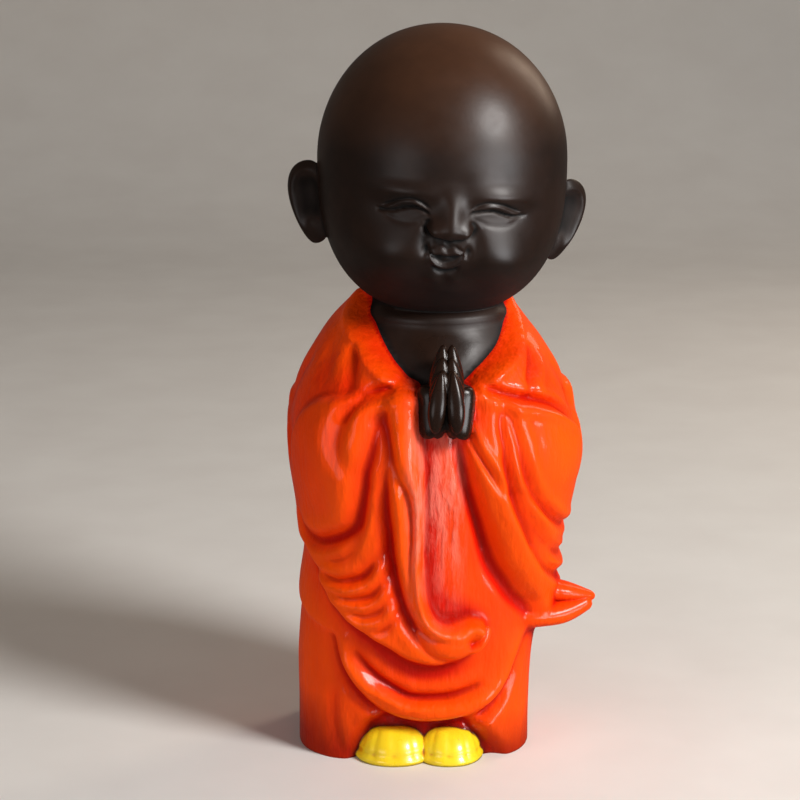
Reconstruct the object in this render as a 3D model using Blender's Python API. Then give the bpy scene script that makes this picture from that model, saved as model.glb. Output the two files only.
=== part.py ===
"""A baby monk statue: one painted resin casting that stands on its flat underside.

The figure faces -Y, and +X is at the viewer's right. The origin is the middle of the underside.
All forms are shares of the height, counted in two-hundredths of it, which is a millimetre at the
size as built. The robe is drawn on a map of its own: a turn in degrees, 0 at the front and
positive toward +X, and a height above the underside.
"""

import math

import bmesh
import bpy
import numpy as np
from mathutils import Matrix

# The driving size, and the unit that every form below is counted in
HEIGHT = 0.200
UNIT = HEIGHT / 200.0

# How finely each block is modelled: segments round it, rings up it, and the triangles it then keeps
ROBE_MESH = (136, 108, 4700)
HEAD_MESH = (112, 84, 2200)
NECK_MESH = (48, 28, 260)
EAR_MESH = (36, 26, 190)
FINGER_MESH = (20, 14, 66)
SHOE_MESH = (44, 28, 260)
TIP_MESH = (28, 24, 130)

# The robe's body: height, half width, half depth, middle across, middle in depth, squareness
ROBE_PROFILE = (
    (-3.0, 32.4, 25.6, 0.2, 0.0, 3.0),
    (12.0, 32.4, 25.4, 0.3, 0.0, 3.0),
    (26.0, 32.8, 25.4, 0.6, 0.0, 2.9),
    (36.0, 33.1, 25.8, 1.6, 0.0, 2.8),
    (46.0, 32.6, 26.0, 2.1, 0.0, 2.7),
    (58.0, 32.2, 26.4, 3.2, 0.0, 2.5),
    (70.0, 35.0, 27.4, 4.8, 0.0, 2.4),
    (84.0, 37.3, 28.2, 5.3, 0.0, 2.4),
    (96.0, 36.5, 28.0, 4.4, 0.0, 2.4),
    (106.0, 33.8, 26.4, 4.6, 0.2, 2.3),
    (114.0, 29.6, 23.0, 4.5, 0.8, 2.2),
    (120.0, 25.2, 19.0, 4.3, 1.6, 2.1),
    (124.5, 21.4, 15.2, 4.8, 2.2, 2.0),
    (128.0, 18.4, 12.6, 5.4, 2.6, 2.0),
)

# Millimetres of cloth for each degree of turn, for measuring on the map
MAP_RADIUS = 34.0

# Lines on the robe's map, each through the points given, in degrees and height
LEFT_FOREARM = ((-8, 108), (-15, 107.5), (-24, 105.5), (-37, 104), (-50, 103), (-56, 101), (-59, 97), (-59, 91),
                (-58, 85), (-54, 79))
OVAL_FOOT = ((-26, 104), (-24, 99), (-25, 92.5), (-29, 85), (-30, 79.5), (-32, 73.5), (-35, 68.5), (-42, 65),
             (-54, 62.5), (-66, 64), (-72, 70))
PANEL_BACK = ((-20, 104.5), (-19, 99.5), (-18, 92), (-20, 81), (-20, 72), (-18, 64), (-14, 56), (-10, 49),
              (-4, 42), (3, 37.5), (11, 34.5), (20, 33.5), (25, 34.5), (29, 36.5))
PANEL_CREASE = ((-17, 92.5), (-16, 88), (-14, 84), (-11, 81), (-9, 77.5), (-8, 72), (-7, 65), (-5, 56.5))
PANEL_ROLL = ((-7, 97), (-8, 91), (-9, 83.5), (-8, 75), (-6.5, 62.5), (-4, 53.5), (-1, 47), (3.5, 42), (10, 38.8),
              (18, 38))
PANEL_FRONT = ((-6, 105), (-5, 99), (-5, 90.5), (-5, 79), (-4, 68), (-1, 57), (1.5, 50), (5, 44.6), (10, 41.8),
               (16, 41.2), (22, 41.7), (27, 41.8), (31, 40.8))
LEFT_SLEEVE_END = ((31, 41), (33, 39), (31, 37))
LEFT_HEM = ((31, 37), (28, 34.5), (24, 31.5), (17, 30), (7, 29.5), (-5, 31), (-15, 34), (-26, 37.5), (-36, 41.5),
            (-44, 46), (-52, 51), (-57, 56), (-68, 59.5), (-92, 62))
LEFT_SLEEVE_BACK = ((-92, 62), (-118, 66), (-134, 82), (-126, 98), (-96, 101), (-67, 86))
RIGHT_FOREARM = ((24, 107), (31, 105.5), (41, 103.5), (53, 101.5), (63, 99), (69, 96.5), (75, 93.5), (80, 88))
RIGHT_VALLEY = ((15, 98), (15, 89), (17, 82), (21, 75.5), (26, 69), (32, 62.5), (38, 56.5), (44, 52), (49, 48),
                (55, 45), (63, 43))
RIGHT_FRONT = ((18, 105), (17, 97), (18, 89), (20, 82), (24, 75.5), (29, 69.5), (35, 63), (41, 57), (47, 52.5),
               (52, 48.5), (57, 45.5), (61, 41), (63, 36))
RIGHT_HEM = ((63, 36), (76, 35), (92, 33), (112, 38), (128, 52), (134, 76))
RIGHT_SLEEVE_BACK = ((134, 76), (126, 96), (100, 102), (80, 88))
SWAG_UPPER = ((-36, 33), (-30, 29), (-22, 25), (-13, 22), (-3, 19.5), (9, 19), (21, 19.5), (30, 21), (38, 23))
SWAG_LOWER = ((-46, 36.5), (-43, 29.5), (-37, 23), (-29, 18), (-20, 14.5), (-8, 11.8), (10, 10.8), (26, 11.4),
              (36, 13.5), (45, 17), (52, 22), (56, 28), (60, 36))
COLLAR = ((-92, 131), (-76, 126), (-66, 123.5), (-54, 120.5), (-42, 117), (-32, 113.5), (-23, 110.5), (-10, 107),
          (6, 104), (20, 107), (30, 110), (40, 112.8), (50, 115.5), (59, 118.5), (68, 121.5), (80, 126), (94, 131))
HEM_OVER_SHOES = ((-38, -4), (-37, 0.5), (-36, 4), (-33, 8), (-29, 11), (-24, 12.6), (-18, 13), (-9, 11.8),
                  (1, 10.6), (11, 10.6), (22, 11.6), (29, 12), (35, 10.5), (40, 7.5), (45, 4), (50, 0.5), (52, -4))

# Folds in the cloth: depth of the valley, its width, the rolls on the left and the right of the line
# as it runs, and the line
FOLDS = (
    (2.6, 1.5, 1.0, 0.8, LEFT_FOREARM),
    (2.7, 2.1, 0.9, 0.9, OVAL_FOOT),
    (1.6, 1.3, 0.5, 0.5, ((-62, 101), (-66, 94), (-67, 86), (-64, 76))),
    (2.8, 2.0, 1.2, 0.7, PANEL_BACK),
    (1.6, 1.2, 0.9, 0.9, PANEL_CREASE),
    (1.4, 1.6, 0.0, 0.0, PANEL_FRONT),
    (-1.3, 1.2, 0.0, 0.0, PANEL_ROLL),
    (0.9, 1.2, 0.5, 0.4, ((-60, 59), (-51, 57.5), (-43, 58.5), (-37, 60.5), (-32, 64.5), (-30, 69), (-25, 78))),
    (1.9, 1.2, 1.0, 0.8, ((-60, 56), (-51, 54), (-46, 53), (-40, 52.5), (-32, 54), (-26, 56.5), (-19, 62))),
    (1.5, 1.1, 0.8, 0.7, ((-54, 51.5), (-47, 49.5), (-39, 48.5), (-33, 48), (-25, 49.5), (-21, 52), (-16, 56.5))),
    (1.0, 1.1, 0.6, 0.5, ((-43, 46), (-37, 44.5), (-32, 44), (-27, 43.5), (-20, 45), (-15, 49))),
    (0.7, 1.0, 0.5, 0.4, ((-29, 39.5), (-24, 39), (-19, 39.5), (-14, 42), (-11, 46))),
    (2.3, 1.4, 0.9, 1.1, RIGHT_FOREARM),
    (3.0, 2.6, 1.0, 0.0, RIGHT_VALLEY),
    (1.3, 1.0, 0.9, 0.7, ((17, 97), (19, 94), (21, 90.5), (24, 86.5), (29, 81), (32, 77))),
    (2.1, 1.3, 1.2, 1.0, ((35, 104.5), (33, 98), (34, 91), (34, 84.5), (37, 77.5), (41, 71.5), (47, 65), (54, 59),
                          (62, 53.5), (73, 49.8), (92, 48), (118, 47))),
    (1.7, 1.2, 0.9, 0.7, ((39, 79), (42, 76), (46, 71), (52, 65), (59, 60.5), (68, 57), (84, 55), (116, 56))),
    (1.7, 1.2, 1.0, 0.8, ((36, 102), (37, 99.5), (39, 92.5), (40, 86.5), (43, 80), (50, 73.5), (62, 67.5),
                          (75, 64), (94, 63.5), (122, 66))),
    (1.6, 1.6, 0.9, 1.4, SWAG_UPPER),
    (2.2, 1.7, 1.5, 0.4, SWAG_LOWER),
    (0.8, 1.4, 0.4, 0.5, ((51, 19), (43, 14), (36, 11), (33, 9.5))),
    (0.9, 1.2, 0.4, 0.5, ((31, 12), (33, 11), (39, 8), (45, 4.5), (53, 1))),
    (0.6, 1.8, 0.3, 0.3, ((-43, 22), (-45, 15), (-43, 6), (-39, 0))),
    (1.9, 1.6, 0.3, 1.2, ((-46, 119), (-44, 116.5), (-42, 112.5), (-41, 108), (-37, 104))),
    (1.0, 2.0, 0.5, 0.4, ((-74, 121), (-65, 116.5), (-57, 112), (-50, 106))),
    (1.4, 1.4, 1.0, 0.5, ((66, 115), (61, 112), (56, 109.5), (52, 106.5), (51, 102))),
    (0.7, 0.9, 0.4, 0.4, ((50, 115.5), (39, 112.5), (29, 110))),
    (0.8, 2.4, 0.0, 0.5, ((-70, 112), (-82, 104), (-90, 94))),
    (0.8, 2.4, 0.5, 0.0, ((74, 110), (86, 102), (92, 92))),
    (1.2, 3.4, 0.9, 0.5, ((168, 112), (172, 90), (168, 62), (164, 30))),
    (1.1, 3.2, 0.5, 0.8, ((-168, 108), (-164, 88), (-160, 58), (-163, 26))),
    (0.9, 3.0, 0.6, 0.4, ((146, 106), (146, 92), (142, 78))),
    (0.9, 3.0, 0.4, 0.6, ((-146, 104), (-148, 90), (-144, 76))),
    (0.9, 3.4, 0.7, 0.4, ((120, 30), (124, 20), (122, 6))),
    (0.9, 3.4, 0.7, 0.4, ((-120, 40), (-124, 22), (-122, 6))),
)

# Soft swells under the cloth: height, turn and height of the middle, and the half sizes on the map
SWELLS = (
    (3.2, -44, 84, 11.0, 16.0),
    (1.6, 62, 86, 11.0, 13.0),
    (1.2, -13, 88, 4.0, 12.0),
    (1.4, -30, 111, 8.0, 5.0),
    (1.4, 42, 109, 9.0, 5.0),
    (1.0, 180, 96, 22.0, 16.0),
)

# How far each layer of the robe stands out from the body, and how soft its edge is
OUTER_ROBE_RISE = 1.3
SLEEVE_RISE = 4.0
PANEL_RISE = 1.4
SLEEVE_EDGE = 0.8
RIGHT_SIDE_RISE = 0.8
CHEST_SINK = 7.5
COLLAR_EDGE = 0.9
COLLAR_ROLL = 1.3
HEM_SINK = 4.0

# The head: its middle, half width, half depths, half heights, and how the face is turned and tilted
HEAD_MIDDLE = (7.6, 0.0, 163.0)
HEAD_HALF_WIDTH = 33.8
HEAD_FRONT = 32.5
HEAD_BACK = 34.5
HEAD_TOP = 37.0
HEAD_BOTTOM = 41.0
FACE_TURN = 4.0
FACE_TILT = 5.5

# The face, on the front of the head: places across and up from the head's middle
EYE_ACROSS = 12.8
EYE_UP = -8.6
EYE_HALF_WIDTH = 7.4
EYE_ARCH = 1.7
NOSE_UP = -12.2
MOUTH_UP = -20.0
MOUTH_HALF_WIDTH = 3.7
CHIN_UP = -29.5
CHEEK_ACROSS = 13.0
CHEEK_UP = -19.0

# The neck and chest inside the collar: height, half width, half depth
NECK_PROFILE = (
    (88.0, 22.0, 17.0),
    (98.0, 26.5, 24.5),
    (104.0, 27.6, 25.2),
    (110.0, 26.6, 23.6),
    (115.0, 24.2, 20.8),
    (119.0, 21.6, 18.4),
    (123.0, 19.6, 17.0),
    (125.5, 18.0, 14.6),
    (134.0, 17.0, 14.0),
)
NECK_MIDDLE = (6.4, 1.0)

EAR_HEIGHT = 23.4
EAR_DEPTH = 14.0
EAR_ACROSS = HEAD_HALF_WIDTH + 0.4
EAR_UP = -13.8
EAR_SPREAD = 34.0

# The praying hands: the lowest point of the palms, and the sizes of one hand
HANDS_FOOT = (9.0, -37.5, 95.2)
HAND_LEAN = 9.0
HAND_ROLL = 2.0
PALM_HEIGHT = 16.5
PALM_THICKNESS = 5.2
PALM_WIDTH = 12.0
FINGER_THICKNESS = 5.6
FINGER_TAPER = 0.42
# Each finger: how far behind the front of the palm, how high its tip is, and its width
FINGERS = ((1.6, 18.2, 3.5), (4.0, 21.4, 3.5), (6.6, 24.6, 3.6), (9.2, 23.0, 3.5))

# The shoes: middle across, half width, height, and the sizes both share
SHOES = ((-5.9, 9.5, 9.9), (10.3, 8.1, 9.2))
SHOE_FRONT = -29.4
SHOE_LENGTH = 22.0
SHOE_SEAM_TURN = 21.0

# The drawn-out tip of the right sleeve, a lower and an upper fold of cloth
RIGHT_TIP = ((26.0, -13.0, 39.4), (35.0, -12.0, 38.7), (42.0, -10.6, 39.1), (49.6, -8.8, 41.4))
RIGHT_TIP_SIZE = ((7.0, 4.8), (6.0, 3.6), (4.6, 3.3), (1.9, 2.0))
RIGHT_TIP_FOLD = ((27.0, -9.0, 47.0), (35.5, -9.4, 45.2), (43.0, -9.2, 44.0), (50.6, -8.2, 42.2))
RIGHT_TIP_FOLD_SIZE = ((6.0, 4.8), (5.0, 3.5), (3.8, 2.6), (1.2, 1.2))

# The curled end of the left sleeve with its flap
LEFT_ROLL = ((1.0, -27.2, 39.6), (6.0, -28.8, 36.0), (11.0, -29.0, 35.2), (15.2, -28.2, 36.4))
LEFT_ROLL_SIZE = ((2.6, 3.0), (3.6, 3.8), (3.9, 4.1), (3.0, 3.6))
LEFT_FLAP = ((12.0, -28.4, 33.4), (16.6, -28.2, 34.4), (19.0, -27.2, 37.0), (19.8, -26.2, 39.8))
LEFT_FLAP_SIZE = ((2.4, 1.6), (2.4, 1.7), (2.1, 1.5), (1.4, 1.1))


SKIN = 0
ROBE = 1
SHOE = 2


def clear_scene():
    for old in list(bpy.data.objects):
        bpy.data.objects.remove(old, do_unlink=True)


def paint(name, colour, roughness):
    """One coat of paint, as a Principled BSDF."""
    material = bpy.data.materials.new(name)
    material.use_nodes = True
    shader = material.node_tree.nodes["Principled BSDF"]
    shader.inputs["Base Color"].default_value = (*colour, 1.0)
    shader.inputs["Roughness"].default_value = roughness
    shader.inputs["Metallic"].default_value = 0.0
    material.diffuse_color = (*colour, 1.0)
    return material


def read_profile(profile, height):
    """Read each column of a profile at these heights, along a smooth curve."""
    table = np.array(profile, dtype=float)
    knots = table[:, 0]
    height = np.clip(height, knots[0], knots[-1])
    cell = np.clip(np.searchsorted(knots, height) - 1, 0, len(knots) - 2)
    span = knots[cell + 1] - knots[cell]
    step = (height - knots[cell]) / span
    columns = []
    for values in table[:, 1:].T:
        slope = np.gradient(values, knots)
        start = (2 * step**3 - 3 * step**2 + 1) * values[cell]
        end = (3 * step**2 - 2 * step**3) * values[cell + 1]
        leave = (step**3 - 2 * step**2 + step) * span * slope[cell]
        arrive = (step**3 - step**2) * span * slope[cell + 1]
        columns.append(start + leave + end + arrive)
    return columns


def smooth_line(points, steps=8):
    """A smooth line through the points, as many short steps."""
    known = np.array(points, dtype=float)
    padded = np.vstack([2 * known[0] - known[1], known, 2 * known[-1] - known[-2]])
    line = []
    for k in range(len(known) - 1):
        before, start, end, after = padded[k:k + 4]
        for step in np.arange(steps) / steps:
            line.append(0.5 * (2 * start + (end - before) * step
                               + (2 * before - 5 * start + 4 * end - after) * step**2
                               + (3 * start - before - 3 * end + after) * step**3))
    line.append(known[-1])
    return np.array(line)


def map_line(points):
    """A smooth line on the robe's map, with its turns changed from degrees to lengths."""
    line = smooth_line(points)
    line[:, 0] *= MAP_RADIUS * math.pi / 180
    return line


def measure(line, across, up):
    """For each place: the distance to the line, how far along it, and on which side (+ is left)."""
    nearest = np.full(across.shape, 1e9)
    along = np.zeros(across.shape)
    side = np.ones(across.shape)
    count = len(line) - 1
    for k in range(count):
        (x0, z0), (x1, z1) = line[k], line[k + 1]
        dx, dz = x1 - x0, z1 - z0
        if dx == 0 and dz == 0:
            continue
        part = ((across - x0) * dx + (up - z0) * dz) / (dx * dx + dz * dz)
        part = np.clip(part, 0, 1)
        gap = np.hypot(across - x0 - part * dx, up - z0 - part * dz)
        turn = dx * (up - z0) - dz * (across - x0)
        closer = gap < nearest
        nearest = np.where(closer, gap, nearest)
        along = np.where(closer, (k + part) / count, along)
        side = np.where(closer, np.sign(turn), side)
    return nearest, along, side


def depth_inside(outline, across, up):
    """Distance to the outline, positive inside it and negative outside."""
    gap = measure(outline, across, up)[0]
    inside = np.zeros(across.shape, dtype=bool)
    for (x0, z0), (x1, z1) in zip(outline[:-1], outline[1:]):
        if z0 == z1:
            continue
        crosses = (z0 > up) != (z1 > up)
        inside ^= crosses & (across < x0 + (up - z0) * (x1 - x0) / (z1 - z0))
    return np.where(inside, gap, -gap)


def rise_inside(outline, across, up, edge):
    """0 outside the outline and 1 inside it, with a soft edge."""
    return 0.5 + 0.5 * np.tanh(depth_inside(outline, across, up) / edge)


def hill(across, up, middle, half_sizes):
    """A round hill, 1 at its middle."""
    x = (across - middle[0]) / half_sizes[0]
    z = (up - middle[1]) / half_sizes[1]
    return np.exp(-(x * x + z * z))


def ease(value, start, end):
    """0 before the start and 1 after the end, with a smooth step between."""
    part = np.clip((value - start) / (end - start), 0, 1)
    return part * part * (3 - 2 * part)


def groove(distance, width):
    return np.exp(-(distance / width)**2)


def outline_of(*lines):
    """One closed outline on the robe's map from lines that follow each other."""
    parts = [map_line(points) for points in lines]
    parts.append(parts[0][:1])
    return np.vstack(parts)


def backwards(points):
    return tuple(reversed(points))


def robe_layers():
    """The outlines of the robe's layers, on its map."""
    return {
        "outer robe": outline_of(SWAG_LOWER, ((60, 36), (100, 44), (150, 60), (180, 70)), ((180, 138), (0, 138)),
                                 ((-180, 138), (-180, 70), (-150, 58), (-100, 46), (-46, 36.5))),
        "left sleeve": outline_of(PANEL_FRONT, LEFT_SLEEVE_END, LEFT_HEM, LEFT_SLEEVE_BACK,
                                  backwards(LEFT_FOREARM)),
        "left panel": outline_of(PANEL_FRONT, LEFT_SLEEVE_END, backwards(PANEL_BACK)),
        "right sleeve": outline_of(RIGHT_FRONT, RIGHT_HEM, RIGHT_SLEEVE_BACK, backwards(RIGHT_FOREARM)),
        "chest": outline_of(COLLAR, ((94, 142), (-92, 142))),
        "shoe opening": outline_of(HEM_OVER_SHOES, ((52, -8), (-38, -8))),
    }


def fold_relief(fold, across, height):
    """One fold: a valley along its line, with a roll of cloth on each side."""
    depth, width, left_roll, right_roll, points = fold
    gap, along, hand = measure(map_line(points), across, height)
    fade = np.sqrt(np.clip(np.sin(math.pi * along), 0, 1))
    roll = np.where(hand > 0, left_roll, right_roll)
    bulge = np.exp(-((gap - 1.9 * width) / (1.3 * width))**2) * roll
    return fade * (bulge - depth * groove(gap, width))


def robe_relief(turn, height):
    """How far the robe's cloth stands out from its body, at turns in degrees and heights."""
    across = turn * MAP_RADIUS * math.pi / 180
    layers = robe_layers()
    side = np.clip((turn - 30) / 50, 0, 1)
    relief = OUTER_ROBE_RISE * rise_inside(layers["outer robe"], across, height, SLEEVE_EDGE)
    low = np.clip((76 - height) / 20, 0, 1)
    left_rise = SLEEVE_RISE * (1 - 0.75 * np.clip((-turn - 40) / 45, 0, 1))
    relief += left_rise * rise_inside(layers["left sleeve"], across, height, SLEEVE_EDGE)
    right_rise = SLEEVE_RISE * (0.6 + 0.4 * low) + RIGHT_SIDE_RISE * side * low
    relief += right_rise * rise_inside(layers["right sleeve"], across, height, SLEEVE_EDGE)
    relief += PANEL_RISE * rise_inside(layers["left panel"], across, height, SLEEVE_EDGE)
    for fold in FOLDS:
        relief += fold_relief(fold, across, height)
    for rise, middle_turn, middle_height, half_turn, half_height in SWELLS:
        apart = (turn - middle_turn + 180) % 360 - 180
        relief += rise * hill(apart * MAP_RADIUS * math.pi / 180, height, (0, middle_height),
                              (half_turn * 1.2, half_height))
    collar_gap = depth_inside(layers["chest"], across, height)
    relief += COLLAR_ROLL * groove(collar_gap + 1.6, 1.6)
    relief -= CHEST_SINK * (0.5 + 0.5 * np.tanh(collar_gap / COLLAR_EDGE))
    relief -= HEM_SINK * rise_inside(layers["shoe opening"], across, height, COLLAR_EDGE)
    return relief


def ball_mesh(name, fineness, form, coat):
    """A ball of quads whose vertices are moved to form(turn, rise), with the rise from 0 to 1."""
    segments, rings = (round(count) for count in fineness[:2])
    mesh = bpy.data.meshes.new(name)
    work = bmesh.new()
    bmesh.ops.create_uvsphere(work, u_segments=segments, v_segments=rings, radius=1.0)
    work.verts.ensure_lookup_table()
    ball = np.array([vertex.co for vertex in work.verts], dtype=float)
    turn = np.arctan2(ball[:, 0], -ball[:, 1])
    rise = np.arcsin(np.clip(ball[:, 2], -1, 1)) / math.pi + 0.5
    places = form(turn, rise) * UNIT
    for vertex, place in zip(work.verts, places):
        vertex.co = place
    bmesh.ops.recalc_face_normals(work, faces=work.faces)
    for face in work.faces:
        face.material_index = coat
        face.smooth = True
    work.to_mesh(mesh)
    work.free()
    return mesh


def block(name, mesh, fineness, coats):
    """A block of the casting, thinned to its triangles, with the coats of paint in their slots."""
    for coat in coats:
        mesh.materials.append(coat)
    made = bpy.data.objects.new(name, mesh)
    bpy.context.collection.objects.link(made)
    mesh.calc_loop_triangles()
    thin = made.modifiers.new("thin", "DECIMATE")
    thin.ratio = min(1.0, fineness[2] / len(mesh.loop_triangles))
    return made


def robe_form(turn, rise):
    """The robe's surface: rings of a squarish oval, moved outward by the cloth's relief."""
    turn = turn - 0.38 * np.sin(turn)
    low, high = ROBE_PROFILE[0][0], ROBE_PROFILE[-1][0]
    margin = 1.0 / ROBE_MESH[1]
    height = low + (high - low) * np.clip((rise - margin) / (1 - 2 * margin), 0, 1)
    half_width, half_depth, middle_x, middle_y, square = read_profile(ROBE_PROFILE, height)
    sine, cosine = np.sin(turn), np.cos(turn)
    reach = (np.abs(sine / half_width)**square + np.abs(cosine / half_depth)**square)**(-1 / square)
    reach = reach + robe_relief(np.degrees(turn), height)
    at_pole = (rise < margin / 2) | (rise > 1 - margin / 2)
    reach = np.where(at_pole, 0, reach)
    return np.stack([middle_x + reach * sine, middle_y - reach * cosine, height], axis=-1)


def neck_form(turn, rise):
    """The neck and the bare chest that show inside the collar."""
    low, high = NECK_PROFILE[0][0], NECK_PROFILE[-1][0]
    height = low + (high - low) * np.clip((rise - 0.03) / 0.94, 0, 1)
    half_width, half_depth = read_profile(NECK_PROFILE, height)
    ring = 0.5 * groove(height - 122.8, 1.1) - 0.3 * groove(height - 120.6, 1.0)
    closed = np.where((rise < 0.01) | (rise > 0.99), 0, 1)
    x = NECK_MIDDLE[0] + closed * (half_width + ring) * np.sin(turn)
    y = NECK_MIDDLE[1] - closed * (half_depth + ring) * np.cos(turn)
    return np.stack([x, y, height], axis=-1)


def face_relief(x, z):
    """How far the face stands out from the plain head, at places across and up."""
    side = np.abs(x)
    relief = 1.5 * hill(side, z, (CHEEK_ACROSS, CHEEK_UP), (9.0, 8.0))
    relief += 1.0 * hill(x, z, (0, CHIN_UP), (7.0, 4.5))
    relief -= 1.3 * hill(side, z, (EYE_ACROSS - 2, EYE_UP - 0.5), (9.0, 4.5))
    relief += 0.8 * hill(side, z, (EYE_ACROSS, EYE_UP + 6.0), (10.0, 3.0))
    reach = (side - EYE_ACROSS) / EYE_HALF_WIDTH
    arch = EYE_UP + EYE_ARCH * (1 - reach**2) - 0.6
    fade = np.exp(-reach**4)
    relief += 1.5 * fade * np.exp(-((z - arch - 0.9) / 1.5)**2)
    relief -= 1.1 * fade * np.exp(-((z - arch + 0.6) / 0.55)**2)
    relief -= 0.7 * fade * np.exp(-((z - arch - 2.9) / 0.6)**2)
    relief += 0.8 * fade * np.exp(-((z - arch + 2.2) / 1.1)**2)
    relief += 1.6 * hill(x, z, (0, NOSE_UP + 5), (3.2, 6.0))
    relief += 3.0 * hill(x, z, (0, NOSE_UP), (3.0, 2.6))
    relief += 1.7 * hill(side, z, (3.8, NOSE_UP - 0.4), (1.9, 1.8))
    relief -= 1.0 * hill(side, z, (1.9, NOSE_UP - 2.9), (0.9, 0.7))
    bow = MOUTH_UP + 1.9 - 0.5 * hill(x, z, (0, MOUTH_UP + 1), (0.8, 4.0)) - 0.12 * x**2
    lips = np.exp(-(x / MOUTH_HALF_WIDTH)**4)
    relief += 1.7 * hill(x, z, (0, MOUTH_UP), (5.5, 4.5))
    relief += 0.9 * lips * np.exp(-((z - bow) / 0.8)**2)
    relief -= 1.5 * hill(x, z, (0, MOUTH_UP + 0.1), (2.8, 0.8))
    relief += 1.0 * hill(x, z, (0, MOUTH_UP - 2.2), (2.7, 1.1))
    relief -= 0.7 * hill(x, z, (0, MOUTH_UP - 4.4), (2.6, 0.8))
    relief -= 0.7 * hill(side, z, (5.4, MOUTH_UP + 1.0), (0.9, 1.2))
    return relief


def head_form(turn, rise):
    """The bald head, in its own frame: a round skull that widens into full cheeks."""
    tilt = (rise - 0.5) * math.pi
    x, y, z = np.sin(turn) * np.cos(tilt), -np.cos(turn) * np.cos(tilt), np.sin(tilt)
    low = 1 / (1 + np.exp(z / 0.12))
    power = 2.06 + 0.42 * low
    half_depth = np.where(y < 0, HEAD_FRONT, HEAD_BACK)
    half_height = HEAD_TOP + (HEAD_BOTTOM - HEAD_TOP) * low
    reach = (np.hypot(x / HEAD_HALF_WIDTH, y / half_depth)**power + np.abs(z / half_height)**power)**(-1 / power)
    front = 1 / (1 + np.exp((y + 0.35) / 0.08))
    lean = math.radians(FACE_TILT)
    across = reach * (x * math.cos(lean) - z * math.sin(lean))
    up = reach * (x * math.sin(lean) + z * math.cos(lean))
    reach = reach + front * face_relief(across, up)
    return np.stack([reach * x, reach * y, reach * z], axis=-1)


def ear_form(turn, rise):
    """One ear, lying flat and facing -Y, its outer edge toward +X: a rolled rim, a hollow and a lobe."""
    tilt = (rise - 0.5) * math.pi
    x, y, z = np.sin(turn) * np.cos(tilt), -np.cos(turn) * np.cos(tilt), np.sin(tilt)
    wide = 0.5 * EAR_DEPTH * (1 + 0.34 * z)
    tall = 0.5 * EAR_HEIGHT
    out = np.hypot(x, z)
    angle = np.degrees(np.arctan2(z, x))
    rimmed = ease(angle, -75, -35) * (1 - ease(angle, 120, 160))
    front = 1.9 + 1.0 * rimmed * groove(out - 0.80, 0.13)
    front -= 2.7 * np.exp(-((x - 0.02) / 0.42)**4 - ((z - 0.14) / 0.52)**4)
    front += 0.9 * groove(np.hypot((x + 0.16) / 0.8, z - 0.02) - 0.42, 0.11) * ease(x, -0.2, 0.2) * ease(-z, -0.4, 0)
    thickness = np.where(y < 0, np.maximum(front, 0.1), 1.6)
    return np.stack([wide * x, thickness * y, tall * z], axis=-1)


def place_head(mesh, tilt_angle=0.0, local=Matrix.Identity(4)):
    """Tilt, turn and lift a piece of the head from the head's own frame to its place."""
    tilt = Matrix.Rotation(math.radians(tilt_angle), 4, "Y")
    turn = Matrix.Rotation(math.radians(FACE_TURN), 4, "Z")
    lift = Matrix.Translation([UNIT * value for value in HEAD_MIDDLE])
    mesh.transform(lift @ tilt @ turn @ local)


def ear_mesh(side):
    mesh = ball_mesh("ear", EAR_MESH, ear_form, SKIN)
    if side < 0:
        mesh.transform(Matrix.Scale(-1, 4, (1, 0, 0)))
        mesh.flip_normals()
    swing = Matrix.Rotation(math.radians(side * EAR_SPREAD), 4, "Z")
    lean = Matrix.Rotation(math.radians(side * 9.0), 4, "Y")
    place = Matrix.Translation((side * EAR_ACROSS * UNIT, 1.5 * UNIT, EAR_UP * UNIT))
    place_head(mesh, FACE_TILT, place @ lean @ swing)
    return mesh


def finger_form(depth, tip, width):
    """A finger pressed against its neighbour: upright, leaning in toward a round tip."""
    def form(turn, rise):
        tilt = (rise - 0.5) * math.pi
        girth = np.cos(tilt)**0.55
        up = 8.0 + (tip - 8.0) * rise
        slim = 1 - FINGER_TAPER * np.clip((up - 9) / (tip - 9), 0, 1)
        across = FINGER_THICKNESS * np.maximum(0.36 + 0.64 * girth * np.sin(turn), -0.06) * slim
        back = depth - 0.62 * width * girth * np.cos(turn)
        return np.stack([across, back, up], axis=-1)
    return form


def thumb_form(turn, rise):
    """The thumb and its ball, along the front of the hand."""
    tilt = (rise - 0.5) * math.pi
    girth = np.cos(tilt)**0.5
    up = 1.2 + 16.6 * rise
    full = 1 - 0.45 * rise**1.6
    middle = 2.8 - 1.35 * rise**1.6
    sine, cosine = np.sin(turn), np.cos(turn)
    across = np.maximum(middle + 2.75 * full * girth * np.sign(sine) * np.abs(sine)**0.8, -0.1)
    back = 0.6 - 2.9 * full * girth * np.sign(cosine) * np.abs(cosine)**0.7
    return np.stack([across, back, up], axis=-1)


def palm_form(turn, rise):
    """The palm with its heel: thickest low down, next to the wrist."""
    tilt = (rise - 0.5) * math.pi
    girth = np.cos(tilt)**0.45
    up = PALM_HEIGHT * rise - 0.6
    across = PALM_THICKNESS * (1 - 0.25 * rise**2) * np.maximum(0.4 + 0.6 * girth * np.sin(turn), -0.06)
    back = 0.5 * PALM_WIDTH - 0.46 * PALM_WIDTH * girth * np.cos(turn)
    return np.stack([across, back, up], axis=-1)


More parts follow.
